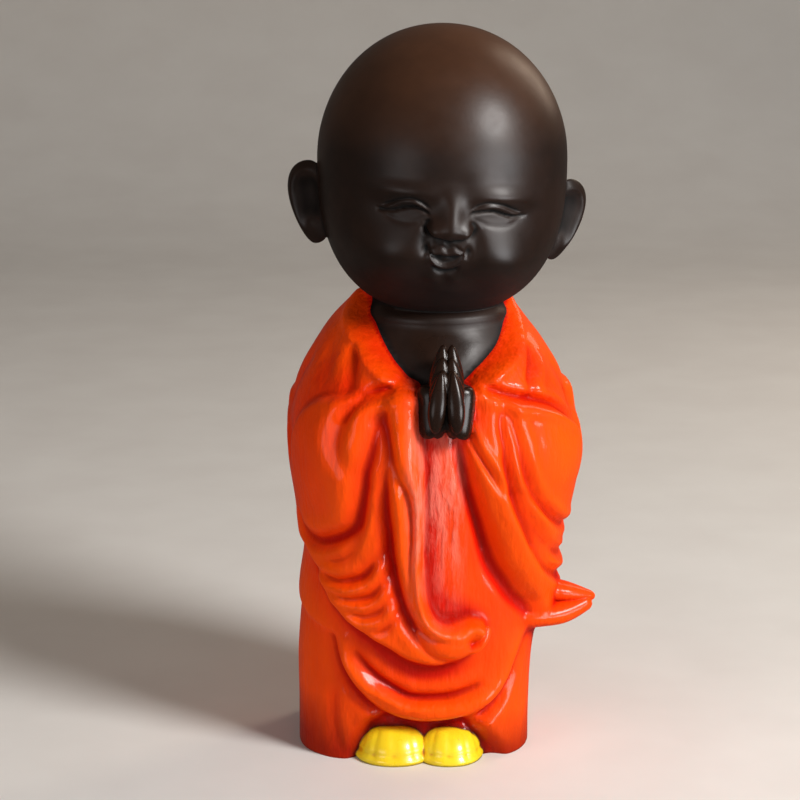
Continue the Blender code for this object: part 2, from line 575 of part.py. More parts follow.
def wrist_form(turn, rise):
    """Both wrists, where they go into the sleeves: wide and square, behind the palms."""
    girth = np.clip(1 - np.abs(2 * rise - 1)**6, 0, 1)**(1 / 6)
    sine, cosine = np.sin(turn), np.cos(turn)
    across = 8.2 * (0.84 + 0.16 * rise) * girth * np.sign(sine) * np.abs(sine)**0.55
    back = 7.8 - 5.8 * girth * np.sign(cosine) * np.abs(cosine)**0.6
    notch = 2.6 * (1 - rise) * groove(across, 2.6)
    return np.stack([across, back, -1.0 + 15.0 * rise + notch], axis=-1)


def press_form(turn, rise):
    """What fills the groove between the two hands, set back a little from their front."""
    tilt = (rise - 0.5) * math.pi
    girth = np.cos(tilt)**0.5
    across = 0.22 * PALM_THICKNESS * girth * np.sin(turn)
    back = 0.5 * PALM_WIDTH - 0.42 * PALM_WIDTH * girth * np.cos(turn)
    return np.stack([across, back, 1.0 + 19.0 * rise], axis=-1)


def hand_meshes():
    """The praying pair: on each side a palm, a thumb and four fingers, the wrists and the fill between."""
    forms = [palm_form, thumb_form] + [finger_form(depth, tip, width) for depth, tip, width in FINGERS]
    lean = Matrix.Rotation(math.radians(-HAND_LEAN), 4, "X")
    roll = Matrix.Rotation(math.radians(HAND_ROLL), 4, "Y")
    place = Matrix.Translation([UNIT * value for value in HANDS_FOOT]) @ roll @ lean
    meshes = [ball_mesh("press", FINGER_MESH, press_form, SKIN), ball_mesh("wrists", FINGER_MESH, wrist_form, SKIN)]
    for form in forms:
        for side in (-1, 1):
            mesh = ball_mesh("hand", FINGER_MESH, form, SKIN)
            if side < 0:
                mesh.transform(Matrix.Scale(-1, 4, (1, 0, 0)))
                mesh.flip_normals()
            meshes.append(mesh)
    for mesh in meshes:
        mesh.transform(place)
    return meshes


def shoe_form(middle, half_width, high):
    """A soft shoe with a welt round its sole and seams that gather over the toe."""
    def form(turn, rise):
        tilt = (rise - 0.5) * math.pi
        x, y, z = np.sin(turn) * np.cos(tilt), -np.cos(turn) * np.cos(tilt), np.sin(tilt)
        fan = np.degrees(np.arctan2(x, 0.5 - y)) / SHOE_SEAM_TURN
        seam = np.abs(fan - np.round(fan))
        upper = np.clip(z / 0.2, 0, 1) * (1 - ease(z, 0.8, 0.98))
        plump = 1 + upper * (0.015 - 0.03 * groove(seam, 0.15))
        spread = np.sign(x) * np.abs(x)**0.9
        height = np.where(z > 0, high * np.abs(z)**0.86, -3.0 * np.abs(z)**0.3)
        welt = 1 + 0.05 * groove(height - 0.9, 0.9) - 0.03 * groove(height - 2.6, 0.6)
        across = middle + half_width * spread * plump * welt
        along = SHOE_FRONT + 0.5 * SHOE_LENGTH * (1 + y * plump * welt)
        peak = 0.9 * upper * hill(x, y, (-0.15, -0.35), (0.25, 0.35))
        return np.stack([across, along, height * (1 + 0.5 * (plump - 1)) + peak], axis=-1)
    return form


def tapered_form(path, sizes):
    """A bent horn of cloth along a path, with its half width and half height at each point."""
    line = smooth_line(path)
    girth = smooth_line(sizes)

    def form(turn, rise):
        tilt = (rise - 0.5) * math.pi
        reach = np.cos(tilt)
        spot = 0.5 - 0.5 * np.cos(rise * math.pi)
        spot = np.clip(spot, 0, 1) * (len(line) - 1)
        index = np.arange(len(line))
        middle = np.stack([np.interp(spot, index, line[:, k]) for k in range(3)], axis=-1)
        ahead = np.stack([np.interp(spot, index, np.gradient(line[:, k])) for k in range(3)], axis=-1)
        ahead /= np.linalg.norm(ahead, axis=-1, keepdims=True)
        width = np.interp(spot, index, girth[:, 0])
        height = np.interp(spot, index, girth[:, 1])
        up = np.array((0.0, 0.0, 1.0)) - ahead * ahead[:, 2:3]
        up /= np.linalg.norm(up, axis=-1, keepdims=True)
        out = np.cross(ahead, up)
        round_end = np.clip(reach * 2.2, 0, 1)**0.5
        return (middle + out * (width * round_end * np.sin(turn))[:, None]
                + up * (height * round_end * np.cos(turn))[:, None])
    return form


def floor_slab():
    """A slab below the underside, for cutting it flat."""
    slab = bpy.data.meshes.new("below the underside")
    work = bmesh.new()
    bmesh.ops.create_cube(work, size=1.0)
    bmesh.ops.scale(work, verts=work.verts, vec=(HEIGHT, HEIGHT, 0.1 * HEIGHT))
    bmesh.ops.translate(work, verts=work.verts, vec=(0, 0, -0.05 * HEIGHT))
    work.to_mesh(slab)
    work.free()
    return slab


def hide_as_tool(tool):
    tool.hide_render = True
    tool.display_type = "WIRE"


def build_statue():
    coats = (paint("dark skin", (0.022, 0.011, 0.009), 0.38),
             paint("orange robe", (0.85, 0.11, 0.012), 0.30),
             paint("yellow shoes", (0.95, 0.72, 0.01), 0.30))
    robe = ball_mesh("robe", ROBE_MESH, robe_form, ROBE)
    statue = block("baby_monk_statue", robe, ROBE_MESH, coats)

    head = ball_mesh("head", HEAD_MESH, head_form, SKIN)
    place_head(head)
    blocks = [(ball_mesh("neck", NECK_MESH, neck_form, SKIN), NECK_MESH), (head, HEAD_MESH)]
    for side in (-1, 1):
        blocks.append((ear_mesh(side), EAR_MESH))
    blocks += [(mesh, FINGER_MESH) for mesh in hand_meshes()]
    for middle, half_width, high in SHOES:
        blocks.append((ball_mesh("shoe", SHOE_MESH, shoe_form(middle, half_width, high), SHOE), SHOE_MESH))
    ends = ((LEFT_FLAP, LEFT_FLAP_SIZE), (LEFT_ROLL, LEFT_ROLL_SIZE), (RIGHT_TIP, RIGHT_TIP_SIZE),
            (RIGHT_TIP_FOLD, RIGHT_TIP_FOLD_SIZE))
    for path, sizes in ends:
        blocks.append((ball_mesh("sleeve tip", TIP_MESH, tapered_form(path, sizes), ROBE), TIP_MESH))
    for number, (mesh, fineness) in enumerate(blocks):
        tool = block("block_%02d" % number, mesh, fineness, coats)
        hide_as_tool(tool)
        join = statue.modifiers.new("join %d" % number, "BOOLEAN")
        join.operation = "UNION"
        join.object = tool

    slab = bpy.data.objects.new("slab", floor_slab())
    bpy.context.collection.objects.link(slab)
    hide_as_tool(slab)
    flat = statue.modifiers.new("flat underside", "BOOLEAN")
    flat.operation = "DIFFERENCE"
    flat.object = slab


clear_scene()
build_statue()
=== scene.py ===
"""A painted resin figure of a child monk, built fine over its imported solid.

The figure faces -Y and +X is at the viewer's right. Lengths are millimetres, but metres in the paints
and the studio. The robe is drawn on a map of its own: a turn in degrees, 0 at the front and positive
toward +X, and a height.
"""

import math

import bmesh
import bpy
import numpy as np
from mathutils import Matrix, Vector, kdtree


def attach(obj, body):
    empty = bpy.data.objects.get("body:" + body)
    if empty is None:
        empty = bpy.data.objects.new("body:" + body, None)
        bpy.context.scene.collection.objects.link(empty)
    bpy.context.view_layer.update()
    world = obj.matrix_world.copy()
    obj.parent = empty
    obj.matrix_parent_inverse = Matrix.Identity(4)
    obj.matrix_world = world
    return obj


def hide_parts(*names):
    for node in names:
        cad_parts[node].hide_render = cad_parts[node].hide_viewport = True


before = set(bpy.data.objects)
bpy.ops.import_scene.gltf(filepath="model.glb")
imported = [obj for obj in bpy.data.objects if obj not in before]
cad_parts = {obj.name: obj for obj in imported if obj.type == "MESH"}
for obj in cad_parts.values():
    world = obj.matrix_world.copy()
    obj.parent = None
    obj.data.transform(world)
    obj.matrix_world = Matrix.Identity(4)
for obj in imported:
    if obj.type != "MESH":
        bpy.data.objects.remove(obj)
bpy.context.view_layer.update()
bpy.ops.object.select_all(action="DESELECT")

MM = 0.001
STATUE = "baby_monk_statue"

# How finely each form is modelled: segments round it and rings up it
ROBE_MESH = (236, 184)
HEAD_MESH = (196, 156)
NECK_MESH = (88, 52)
EAR_MESH = (60, 48)
HAND_MESH = (44, 32)
FINGER_MESH = (30, 24)
SHOE_MESH = (84, 48)
TIP_MESH = (60, 52)

# How strongly the robe's mesh crowds toward the front
ROBE_CROWDING = 0.38
# The head's mesh crowds into the face: where the face starts and ends, and its share of the mesh
FACE_TURNS = (0.385, 0.615, 0.56)
FACE_RISES = (0.17, 0.52, 0.60)

# The robe's body: height, half width, half depth, middle across, middle in depth, squareness
ROBE_PROFILE = (
    (-3, 32.4, 25.6, 0.2, 0, 3),
    (12, 32.4, 25.4, 0.3, 0, 3),
    (26, 32.8, 25.4, 0.6, 0, 2.9),
    (36, 33.1, 25.8, 1.6, 0, 2.8),
    (46, 32.6, 26, 2.1, 0, 2.7),
    (58, 32.2, 26.4, 3.2, 0, 2.5),
    (70, 35, 27.4, 4.8, 0, 2.4),
    (84, 37.3, 28.2, 5.3, 0, 2.4),
    (96, 36.5, 28, 4.4, 0, 2.4),
    (106, 33.8, 26.4, 4.6, 0.2, 2.3),
    (114, 29.6, 23, 4.5, 0.8, 2.2),
    (120, 25.2, 19, 4.3, 1.6, 2.1),
    (124.5, 21.4, 15.2, 4.8, 2.2, 2),
    (128, 18.4, 12.6, 5.4, 2.6, 2),
)

# The robe's radius on the map, and the millimetres of cloth that it gives each degree of turn
MAP_RADIUS = 34.0
MAP_DEGREE = MAP_RADIUS * math.pi / 180

# Lines on the robe's map, each through the points given, in degrees and height
LEFT_FOREARM = (
    (-8, 108), (-15, 107.5), (-24, 105.5), (-37, 104), (-48, 103), (-57, 101), (-64, 96.5), (-69, 90),
    (-72, 83)
)
OVAL_FOOT = (
    (-26, 104), (-24, 99), (-25, 92.5), (-29, 85), (-30, 79.5), (-32, 73.5), (-35, 68.5), (-42, 65),
    (-54, 62.5), (-66, 64), (-72, 70)
)
PANEL_BACK = (
    (-20, 104.5), (-19, 99.5), (-18, 92), (-20, 81), (-20, 72), (-18, 64), (-14, 56), (-10, 49), (-4, 42),
    (3, 37.5), (11, 34.5), (20, 33.5), (25, 34.5), (29, 36.5)
)
PANEL_CREASE = (
    (-18, 98), (-17, 92.5), (-16, 88), (-14.5, 84), (-12, 80), (-10.3, 76), (-9.3, 71), (-8.4, 65),
    (-7.2, 58), (-5, 50), (-2, 45)
)
PANEL_ROLL = (
    (-7, 97), (-8, 91), (-8, 83.5), (-6.8, 75), (-4.6, 62.5), (-2.4, 53.5), (0, 47), (4, 42), (10.5, 39),
    (18, 38)
)
PANEL_FRONT = (
    (-6, 105), (-5, 99), (-5, 90.5), (-5, 79), (-4, 68), (-1, 57), (1.5, 50), (5, 44.6), (10, 41.8),
    (16, 41.2), (22, 41.7), (27, 41.8), (31, 40.8)
)
LEFT_SLEEVE_END = ((31, 41), (33, 39), (31, 37))
LEFT_HEM = (
    (31, 37), (28, 34.5), (24, 31.5), (17, 30), (7, 29.5), (-5, 31), (-15, 34), (-26, 37.5), (-36, 41.5),
    (-44, 46), (-52, 51), (-57, 56), (-68, 59.5), (-92, 62)
)
LEFT_SLEEVE_BACK = ((-92, 62), (-118, 66), (-134, 82), (-126, 98), (-98, 100), (-80, 90), (-72, 83))
RIGHT_FOREARM = (
    (24, 107), (31, 105.5), (41, 103.5), (53, 101.5), (63, 99), (69, 96.5), (75, 93.5), (80, 88)
)
RIGHT_VALLEY = (
    (15, 98), (15, 89), (17, 82), (21, 75.5), (26, 69), (32, 62.5), (38, 56.5), (44, 52), (49, 48),
    (55, 45), (63, 43)
)
RIGHT_FRONT = (
    (18, 105), (17, 97), (18, 89), (20, 82), (24, 75.5), (29, 69.5), (35, 63), (41, 57), (47, 52.5),
    (52, 48.5), (57, 45.5), (61, 41), (63, 36)
)
RIGHT_HEM = ((63, 36), (76, 35), (92, 33), (112, 38), (128, 52), (134, 76))
RIGHT_SLEEVE_BACK = ((134, 76), (126, 96), (100, 102), (80, 88))
SWAG_UPPER = (
    (-36, 33), (-30, 29), (-22, 25), (-13, 22), (-3, 19.5), (9, 19), (21, 19.5), (30, 21), (38, 23)
)
SWAG_LOWER = (
    (-46, 36.5), (-43, 29.5), (-37, 23), (-29, 18), (-20, 14.5), (-8, 11.8), (10, 10.8), (26, 11.4),
    (36, 13.5), (45, 17), (52, 22), (56, 28), (60, 36)
)
COLLAR = (
    (-92, 131), (-76, 126), (-66, 123.5), (-54, 120.5), (-42, 117), (-32, 113.5), (-23, 110.5), (-10, 107),
    (6, 104), (20, 107), (30, 110), (40, 112.8), (50, 115.5), (59, 118.5), (68, 121.5), (80, 126), (94, 131)
)
HEM_OVER_SHOES = (
    (-38, -4), (-37, 0.5), (-36, 4), (-33, 8), (-29, 11), (-24, 12.6), (-18, 13), (-9, 11.8), (1, 10.6),
    (11, 10.6), (22, 11.6), (29, 12), (35, 10.5), (40, 7.5), (45, 4), (50, 0.5), (52, -4)
)

# Folds in the cloth: depth of the valley, its width, the rolls on the left and the right of the line
# as it runs, and the line
FOLDS = (
    (2.3, 1.5, 1, 0.6, ((-8, 108), (-15, 107.5), (-24, 105.5), (-31, 104), (-36, 101.5), (-38.5, 97.5))),
    (1.2, 2.3, 0.2, 0.6, ((-31, 104), (-36, 101.5), (-38.5, 97.5), (-39.5, 93), (-38.5, 88), (-36.5, 83))),
    (2.6, 2.3, 0.9, 0.9, OVAL_FOOT),
    (2.8, 2, 1.2, 0.7, PANEL_BACK),
    (1.4, 1.3, 0.9, 0.7, PANEL_CREASE),
    (1.4, 1.6, 0, 0, PANEL_FRONT),
    (-1.3, 1.2, 0, 0, PANEL_ROLL),
    (0.7, 1.4, 0.4, 0.3, ((-60, 59), (-51, 57.5), (-43, 58.5), (-37, 60.5), (-32, 64.5), (-29, 70),
     (-24, 80))),
    (1.4, 1.5, 0.8, 0.6, ((-62, 56.5), (-51, 54), (-46, 53), (-40, 52.5), (-32, 54), (-26, 57), (-20, 64))),
    (1.2, 1.4, 0.7, 0.5, ((-54, 51.5), (-47, 49.5), (-39, 48.3), (-33, 48), (-25, 49.5), (-20, 53),
     (-16, 59))),
    (0.8, 1.3, 0.5, 0.4, ((-43, 46), (-37, 44.5), (-32, 44), (-27, 43.5), (-20, 45.5), (-15, 50))),
    (0.6, 1.2, 0.4, 0.3, ((-29, 39.5), (-24, 39), (-19, 39.5), (-14, 42), (-10, 47))),
    (0.6, 1.2, 0.3, 0.3, ((-27, 61), (-26, 66), (-23, 73), (-22, 80))),
    (2.3, 1.4, 0.9, 1.1, RIGHT_FOREARM),
    (3, 2.6, 1, 0, RIGHT_VALLEY),
    (1.3, 1, 0.9, 0.7, ((17, 97), (19, 94), (21, 90.5), (24, 86.5), (29, 81), (32, 77))),
    (2.1, 1.4, 1.2, 1, ((35, 104.5), (33, 98), (34, 91), (34, 84.5), (37, 77.5), (41, 71.5), (47, 65),
     (54, 59), (62, 53.5), (73, 49.8), (92, 48), (118, 47))),
    (1.7, 1.3, 0.9, 0.7, ((39, 79), (42, 76), (46, 71), (52, 65), (59, 60.5), (68, 57), (84, 55),
     (116, 56))),
    (1.7, 1.3, 1, 0.8, ((36, 102), (37, 99.5), (39, 92.5), (40, 86.5), (43, 80), (50, 73.5), (62, 67.5),
     (75, 64), (94, 63.5), (122, 66))),
    (1.6, 1.6, 0.9, 1.4, SWAG_UPPER),
    (2.2, 1.8, 1.5, 0.4, SWAG_LOWER),
    (0.5, 1.2, 0.3, 0.3, ((-26, 21), (-16, 17.5), (-4, 15.3), (10, 15), (22, 16))),
    (0.8, 1.4, 0.4, 0.5, ((51, 19), (43, 14), (36, 11), (33, 9.5))),
    (0.9, 1.2, 0.4, 0.5, ((31, 12), (33, 11), (39, 8), (45, 4.5), (53, 1))),
    (0.6, 1.8, 0.3, 0.3, ((-43, 22), (-45, 15), (-43, 6), (-39, 0))),
    (1.5, 2.3, 0.2, 0.6, ((-50, 117), (-47, 114.5), (-44, 111.5), (-42, 108), (-39, 104.5))),
    (0.5, 3, 0.2, 0.2, ((-72, 118), (-65, 114.5), (-59, 110), (-55, 105))),
    (1.4, 1.5, 1, 0.5, ((66, 115), (61, 112), (56, 109.5), (52, 106.5), (51, 102))),
    (0.7, 0.9, 0.4, 0.4, ((50, 115.5), (39, 112.5), (29, 110))),
    (0.8, 2.4, 0, 0.5, ((-76, 112), (-84, 104), (-90, 94))),
    (0.8, 2.4, 0.5, 0, ((74, 110), (86, 102), (92, 92))),
    (1.2, 3.4, 0.9, 0.5, ((168, 112), (172, 90), (168, 62), (164, 30))),
    (1.1, 3.2, 0.5, 0.8, ((-168, 108), (-164, 88), (-160, 58), (-163, 26))),
    (0.9, 3, 0.6, 0.4, ((146, 106), (146, 92), (142, 78))),
    (0.9, 3, 0.4, 0.6, ((-146, 104), (-148, 90), (-144, 76))),
    (0.9, 3.4, 0.7, 0.4, ((120, 30), (124, 20), (122, 6))),
    (0.9, 3.4, 0.7, 0.4, ((-120, 40), (-124, 22), (-122, 6))),
)

# Soft swells under the cloth: height, turn and height of the middle, and the half sizes on the map
SWELLS = (
    (3.2, -44, 84, 11, 16),
    (1.6, 62, 86, 11, 13),
    (1.2, -13, 88, 4, 12),
    (1.4, -30, 111, 8, 5),
    (1.4, 42, 109, 9, 5),
    (1, 180, 96, 22, 16),
)

# How far each layer of the robe stands out from the body, and how soft its edge is
OUTER_ROBE_RISE = 1.3
SLEEVE_RISE = 4.0
PANEL_RISE = 1.4
SLEEVE_EDGE = 0.8
RIGHT_SIDE_RISE = 0.8
CHEST_SINK = 7.5
COLLAR_EDGE = 0.9
COLLAR_ROLL = 1.3
HEM_SINK = 4.0

# The head: its middle, half width, half depths, half heights, and how the face is turned and tilted
HEAD_MIDDLE = (7.8, 0.0, 163.0)
HEAD_HALF_WIDTH = 33.8
HEAD_FRONT = 32.5
HEAD_BACK = 34.5
HEAD_TOP = 37.0
HEAD_BOTTOM = 41.0
FACE_TURN = 4.0
FACE_TILT = 4.8

# Hills and hollows of the face and its parts: height, middle aside and up, and half sizes
FACE_MIDDLE = 0.9
FACE_HILLS = (
    (-0.7, 6.6, -16.5, 1.6, 3.6),
    (1, 0, -28.6, 6, 3.4),
    (-1, 11.5, -8.6, 8.5, 3.4),
    (1.3, 13, -4.4, 8, 2.6),
    (-0.5, 0, -2.5, 5, 4.5),
)
NOSE_MIDDLE = 0.5
NOSE_HILLS = (
    (1.5, 0, -7.6, 2.9, 4.4),
    (2.3, 0, -12, 4.2, 3.8),
    (1.3, 4.2, -12.8, 1.8, 2.1),
    (0.9, 0, -12.9, 6.2, 2.4),
)
MOUTH_MIDDLE = 0.2
MOUTH_HILLS = (
    (1.3, 0, -20, 5.4, 4.6),
    (0.6, 2.7, -25.6, 1.9, 1.3),
    (-1.1, 5.3, -18.4, 0.9, 1.3),
    (-0.4, 0, -16.4, 0.7, 1.1),
    (0.08, 1.3, -16.4, 0.6, 1),
)

# Lines of each closed eye, across and up: the fold over the lid, where the lids meet, the rim below
LEFT_EYE = (
    ((-19.2, -9.3), (-17.2, -8.7), (-15.2, -7.6), (-13, -6.4), (-9.8, -5.8), (-7.3, -6.9), (-5.6, -8.1),
     (-4.4, -9.4)),
    ((-19.2, -9.5), (-17.6, -9.7), (-15, -9.6), (-12.7, -8.8), (-10.3, -8.2), (-8.4, -8.2), (-5.3, -9.4),
     (-4.4, -10)),
    ((-19.2, -9.7), (-17.6, -10.2), (-15.9, -10.9), (-13.6, -11.8), (-10.7, -12.1), (-8.1, -11.5),
     (-5.9, -10.2), (-4.4, -9.9)),
)
RIGHT_EYE = (
    ((4.4, -8.8), (5.4, -8), (7, -6.9), (9.2, -5.8), (11.7, -5.7), (14.4, -6.3), (16.5, -7.2),
     (18.5, -8), (21.4, -8.8)),
    ((4.4, -9.2), (6.7, -8.3), (11.4, -7.9), (14, -8.5), (16.2, -9.1), (18.2, -9.2), (19.8, -9),
     (21.4, -8.7)),
    ((4.4, -9.2), (5.6, -9.7), (7.5, -10.6), (10.5, -11.5), (13.4, -11.7), (16.2, -11.4), (19.2, -9.9),
     (21.4, -8.8)),
)

# Lines of the right half of the mouth, from its middle to its corner
LIP_TOP = ((0, -18.2), (0.8, -17.7), (1.7, -17.3), (2.8, -17.9), (4.3, -18.8))
LIP_PARTING = ((0, -19.3), (1.7, -19.1), (3, -19), (4.3, -18.9))
LOWER_LIP_TOP = ((0, -22), (1.5, -21.7), (3, -20.8), (4.3, -19.1))
LOWER_LIP_FOOT = ((0, -23.2), (1.5, -22.9), (3.2, -21.8), (4.3, -20.1), (4.9, -18.9))

# The neck and chest inside the collar: height, half width, half depth
NECK_PROFILE = (
    (88, 22, 17),
    (98, 26.5, 24.5),
    (104, 27.6, 25.2),
    (110, 26.6, 23.6),
    (115, 24.2, 20.8),
    (119, 21.6, 18.4),
    (123, 19.6, 17),
    (125.5, 18, 14.6),
    (134, 17, 14),
)
NECK_MIDDLE = (6.4, 1.0)

# An ear: its sizes, how much its lobe narrows outside, its place on the head, and how it's turned
EAR_HEIGHT = 22.9
EAR_DEPTH = 14.0
EAR_LOBE = 0.34
EAR_ACROSS = HEAD_HALF_WIDTH + 0.4
EAR_BACK = 1.5
EAR_UP = -13.8
EAR_SPREAD = 34.0
EAR_LEAN = 9.0

# The praying hands: the lowest point of the palms, and the sizes of one hand
HANDS_FOOT = (8.4, -37.5, 95.2)
HAND_LEAN = 9.0
HAND_ROLL = 1.4
PALM_HEIGHT = 16.5
PALM_THICKNESS = 5.2
PALM_WIDTH = 12.0
FINGER_THICKNESS = 5.6
FINGER_TAPER = 0.42
# Each finger: how far behind the front of the palm, how high its tip is, and its width
FINGERS = ((1.6, 18.2, 3.5), (4, 21.4, 3.5), (6.6, 24.6, 3.6), (9.2, 23, 3.5))

# The shoes: middle across, half width, height, and the sizes both share
SHOES = ((-5.2, 10.5, 9.4), (9.9, 9.1, 8.9))
SHOE_FRONT = -29.4
SHOE_LENGTH = 22.0
SHOE_SEAM_TURN = 21.0

# The ends of the sleeves: a path, and the half width and half height along it
SLEEVE_ENDS = (
    # The drawn-out tip on the right, a lower and an upper fold of cloth
    (((26, -13, 39.4), (35, -12, 38.7), (42, -10.6, 39.1), (49.6, -8.8, 41.4)),
     ((7, 4.8), (6, 3.6), (4.6, 3.3), (1.9, 2))),
    (((27, -9, 47), (35.5, -9.4, 45.2), (43, -9.2, 44), (50.6, -8.2, 42.2)),
     ((6, 4.8), (5, 3.5), (3.8, 2.6), (1.2, 1.2))),
    # The curled end on the left, and its flap
    (((1, -27.2, 39.6), (6, -28.8, 36), (11, -29, 35.2), (15.2, -28.2, 36.4)),
     ((2.6, 3), (3.6, 3.8), (3.9, 4.1), (3, 3.6))),
    (((12, -28.4, 33.4), (16.6, -28.2, 34.4), (19, -27.2, 37), (19.8, -26.2, 39.8)),
     ((2.4, 1.6), (2.4, 1.7), (2.1, 1.5), (1.4, 1.1))),
)
# Where the end of the left roll is open: its middle, its radius and how far it's pressed in
ROLL_OPENING = ((16.6, -31.0, 36.8), 3.4, (-0.4, 1.5, -0.2))

# Borders of the paint: the skin's lie above the first height, the shoes' below the second
COLLAR_LOW = 101.0
SHOES_HIGH = 30.0
SHOE_LINE_WIDTH = 0.9
# Joints that are softened: beside the head, and round the sleeve ends, where they bend this sharply
EAR_ROOT_LOW = 130.0
EAR_ROOT_ASIDE = 26.0
SLEEVE_END_HEIGHTS = (30.0, 60.0)
JOINT_BEND = -0.35

# How the paint finds its creases: a name, rounds of smoothing, and the depth that counts as 1
CREASE_SCALES = (("crease", 14, 0.35), ("hollow", 200, 1.7))

# The coats of paint, in the order of the material slots
SKIN = 0
ROBE = 1
SHOE = 2


# The camera and the studio, in metres

CAMERA_TILT = math.radians(14.0)
CAMERA_DISTANCE = 0.7
CAMERA_AIM = Vector((-3.6, 0.0, 96.5)) * MM
SENSOR_WIDTH = 36.0
FOCAL_SHARE = 2531.0 / 800.0

# The soft boxes: name, place, size, watts, colour, and the rays that don't see them
LIGHTS = (
    ("key light", (0.60, -0.46, 0.56), (0.30, 0.30), 10.0, (1.0, 0.98, 0.96), None),
    ("fill light", (-0.80, -0.60, 0.26), (0.8, 0.6), 3.0, (0.98, 0.98, 1.0), "glossy"),
    ("side card", (0.72, -0.62, 0.08), (0.6, 0.40), 8.0, (0.96, 0.98, 1.0), "diffuse"),
    ("left card", (-0.50, -0.80, 0.16), (0.5, 0.4), 1.2, (0.96, 0.98, 1.0), "diffuse"),
    ("back light", (0.45, 0.45, 0.50), (0.2, 0.5), 1.2, (1.0, 0.80, 0.62), None),
)
LIGHT_AIM = Vector((0.004, 0, 0.11))
FLOOR_SIZE = 2.4
WALL_HEIGHT = 1.6
WALL_SWEEP = 0.5


def place_camera():
    """In front of the figure, looking down on it a little."""
    back = Vector((0.0, -math.cos(CAMERA_TILT), math.sin(CAMERA_TILT)))
    facing = back.to_track_quat("Z", "Y").to_euler()
    bpy.ops.object.camera_add(location=CAMERA_AIM + CAMERA_DISTANCE * back, rotation=facing)
    camera = bpy.context.object
    camera.data.sensor_width = SENSOR_WIDTH
    camera.data.lens = FOCAL_SHARE * SENSOR_WIDTH
    bpy.context.scene.camera = camera


# Curves and hills for drawing relief

def clamp(value):
    return np.clip(value, 0, 1)


def points_of(x, y, z):
    return np.stack([x, y, z], axis=-1)


def signed_power(value, power):
    """A power that keeps the value's sign."""
    return np.sign(value) * np.abs(value)**power


def read_profile(profile, height):
    """Read each column of a profile at these heights, along a smooth curve."""
    table = np.array(profile, dtype=float)
    knots = table[:, 0]
    height = np.clip(height, knots[0], knots[-1])
    cell = np.clip(np.searchsorted(knots, height) - 1, 0, len(knots) - 2)
    span = knots[cell + 1] - knots[cell]
    step = (height - knots[cell]) / span
    columns = []
    for values in table[:, 1:].T:
        slope = np.gradient(values, knots)
        start = (2 * step**3 - 3 * step**2 + 1) * values[cell]
        end = (3 * step**2 - 2 * step**3) * values[cell + 1]
        leave = (step**3 - 2 * step**2 + step) * span * slope[cell]
        arrive = (step**3 - step**2) * span * slope[cell + 1]
        columns.append(start + leave + end + arrive)
    return columns


def smooth_line(points, steps=8):
    """A smooth line through the points, as many short steps."""
    known = np.array(points, dtype=float)
    padded = np.vstack([2 * known[0] - known[1], known, 2 * known[-1] - known[-2]])
    line = []
    for k in range(len(known) - 1):
        before, start, end, after = padded[k:k + 4]
        for step in np.arange(steps) / steps:
            line.append(0.5 * (2 * start + (end - before) * step
                               + (2 * before - 5 * start + 4 * end - after) * step**2
                               + (3 * start - before - 3 * end + after) * step**3))
    line.append(known[-1])
    return np.array(line)


def map_line(points):
    """A smooth line on the robe's map, with its turns changed from degrees to lengths."""
    line = smooth_line(points)
    line[:, 0] *= MAP_DEGREE
    return line


def measure(line, across, up):
    """For each place: the distance to the line, how far along it, and on which side (+ is left)."""
    nearest = np.full(across.shape, 1e9)
    along = np.zeros(across.shape)
    side = np.ones(across.shape)
    count = len(line) - 1
    for k in range(count):
        (x0, z0), (x1, z1) = line[k], line[k + 1]
        dx, dz = x1 - x0, z1 - z0
        if dx == 0 and dz == 0:
            continue
        part = clamp(((across - x0) * dx + (up - z0) * dz) / (dx * dx + dz * dz))
        gap = np.hypot(across - x0 - part * dx, up - z0 - part * dz)
        turn = dx * (up - z0) - dz * (across - x0)
        closer = gap < nearest
        nearest = np.where(closer, gap, nearest)
        along = np.where(closer, (k + part) / count, along)
        side = np.where(closer, np.sign(turn), side)
    return nearest, along, side


def depth_inside(outline, across, up):
    """Distance to the outline, positive inside it and negative outside."""
    gap = measure(outline, across, up)[0]
    inside = np.zeros(across.shape, dtype=bool)
    for (x0, z0), (x1, z1) in zip(outline[:-1], outline[1:]):
        if z0 == z1:
            continue
        crosses = (z0 > up) != (z1 > up)
        inside ^= crosses & (across < x0 + (up - z0) * (x1 - x0) / (z1 - z0))
    return np.where(inside, gap, -gap)


def rise_inside(outline, across, up, edge):
    """0 outside the outline and 1 inside it, with a soft edge."""
    return 0.5 + 0.5 * np.tanh(depth_inside(outline, across, up) / edge)


def hill(across, up, middle, half_sizes):
    """A round hill, 1 at its middle."""
    x = (across - middle[0]) / half_sizes[0]
    z = (up - middle[1]) / half_sizes[1]
    return np.exp(-(x * x + z * z))


def hills(across, up, table):
    """All hills of a table, added up."""
    return sum(rise * hill(across, up, (x, z), (wide, tall)) for rise, x, z, wide, tall in table)


def ease(value, start, end):
    """0 before the start and 1 after the end, with a smooth step between."""
    part = clamp((value - start) / (end - start))
    return part * part * (3 - 2 * part)


def groove(distance, width):
    return np.exp(-(distance / width)**2)


def outline_of(*lines):
    """One closed outline on the robe's map from lines that follow each other."""
    parts = [map_line(points) for points in lines]
    parts.append(parts[0][:1])
    return np.vstack(parts)


def backwards(points):
    return tuple(reversed(points))


# The robe

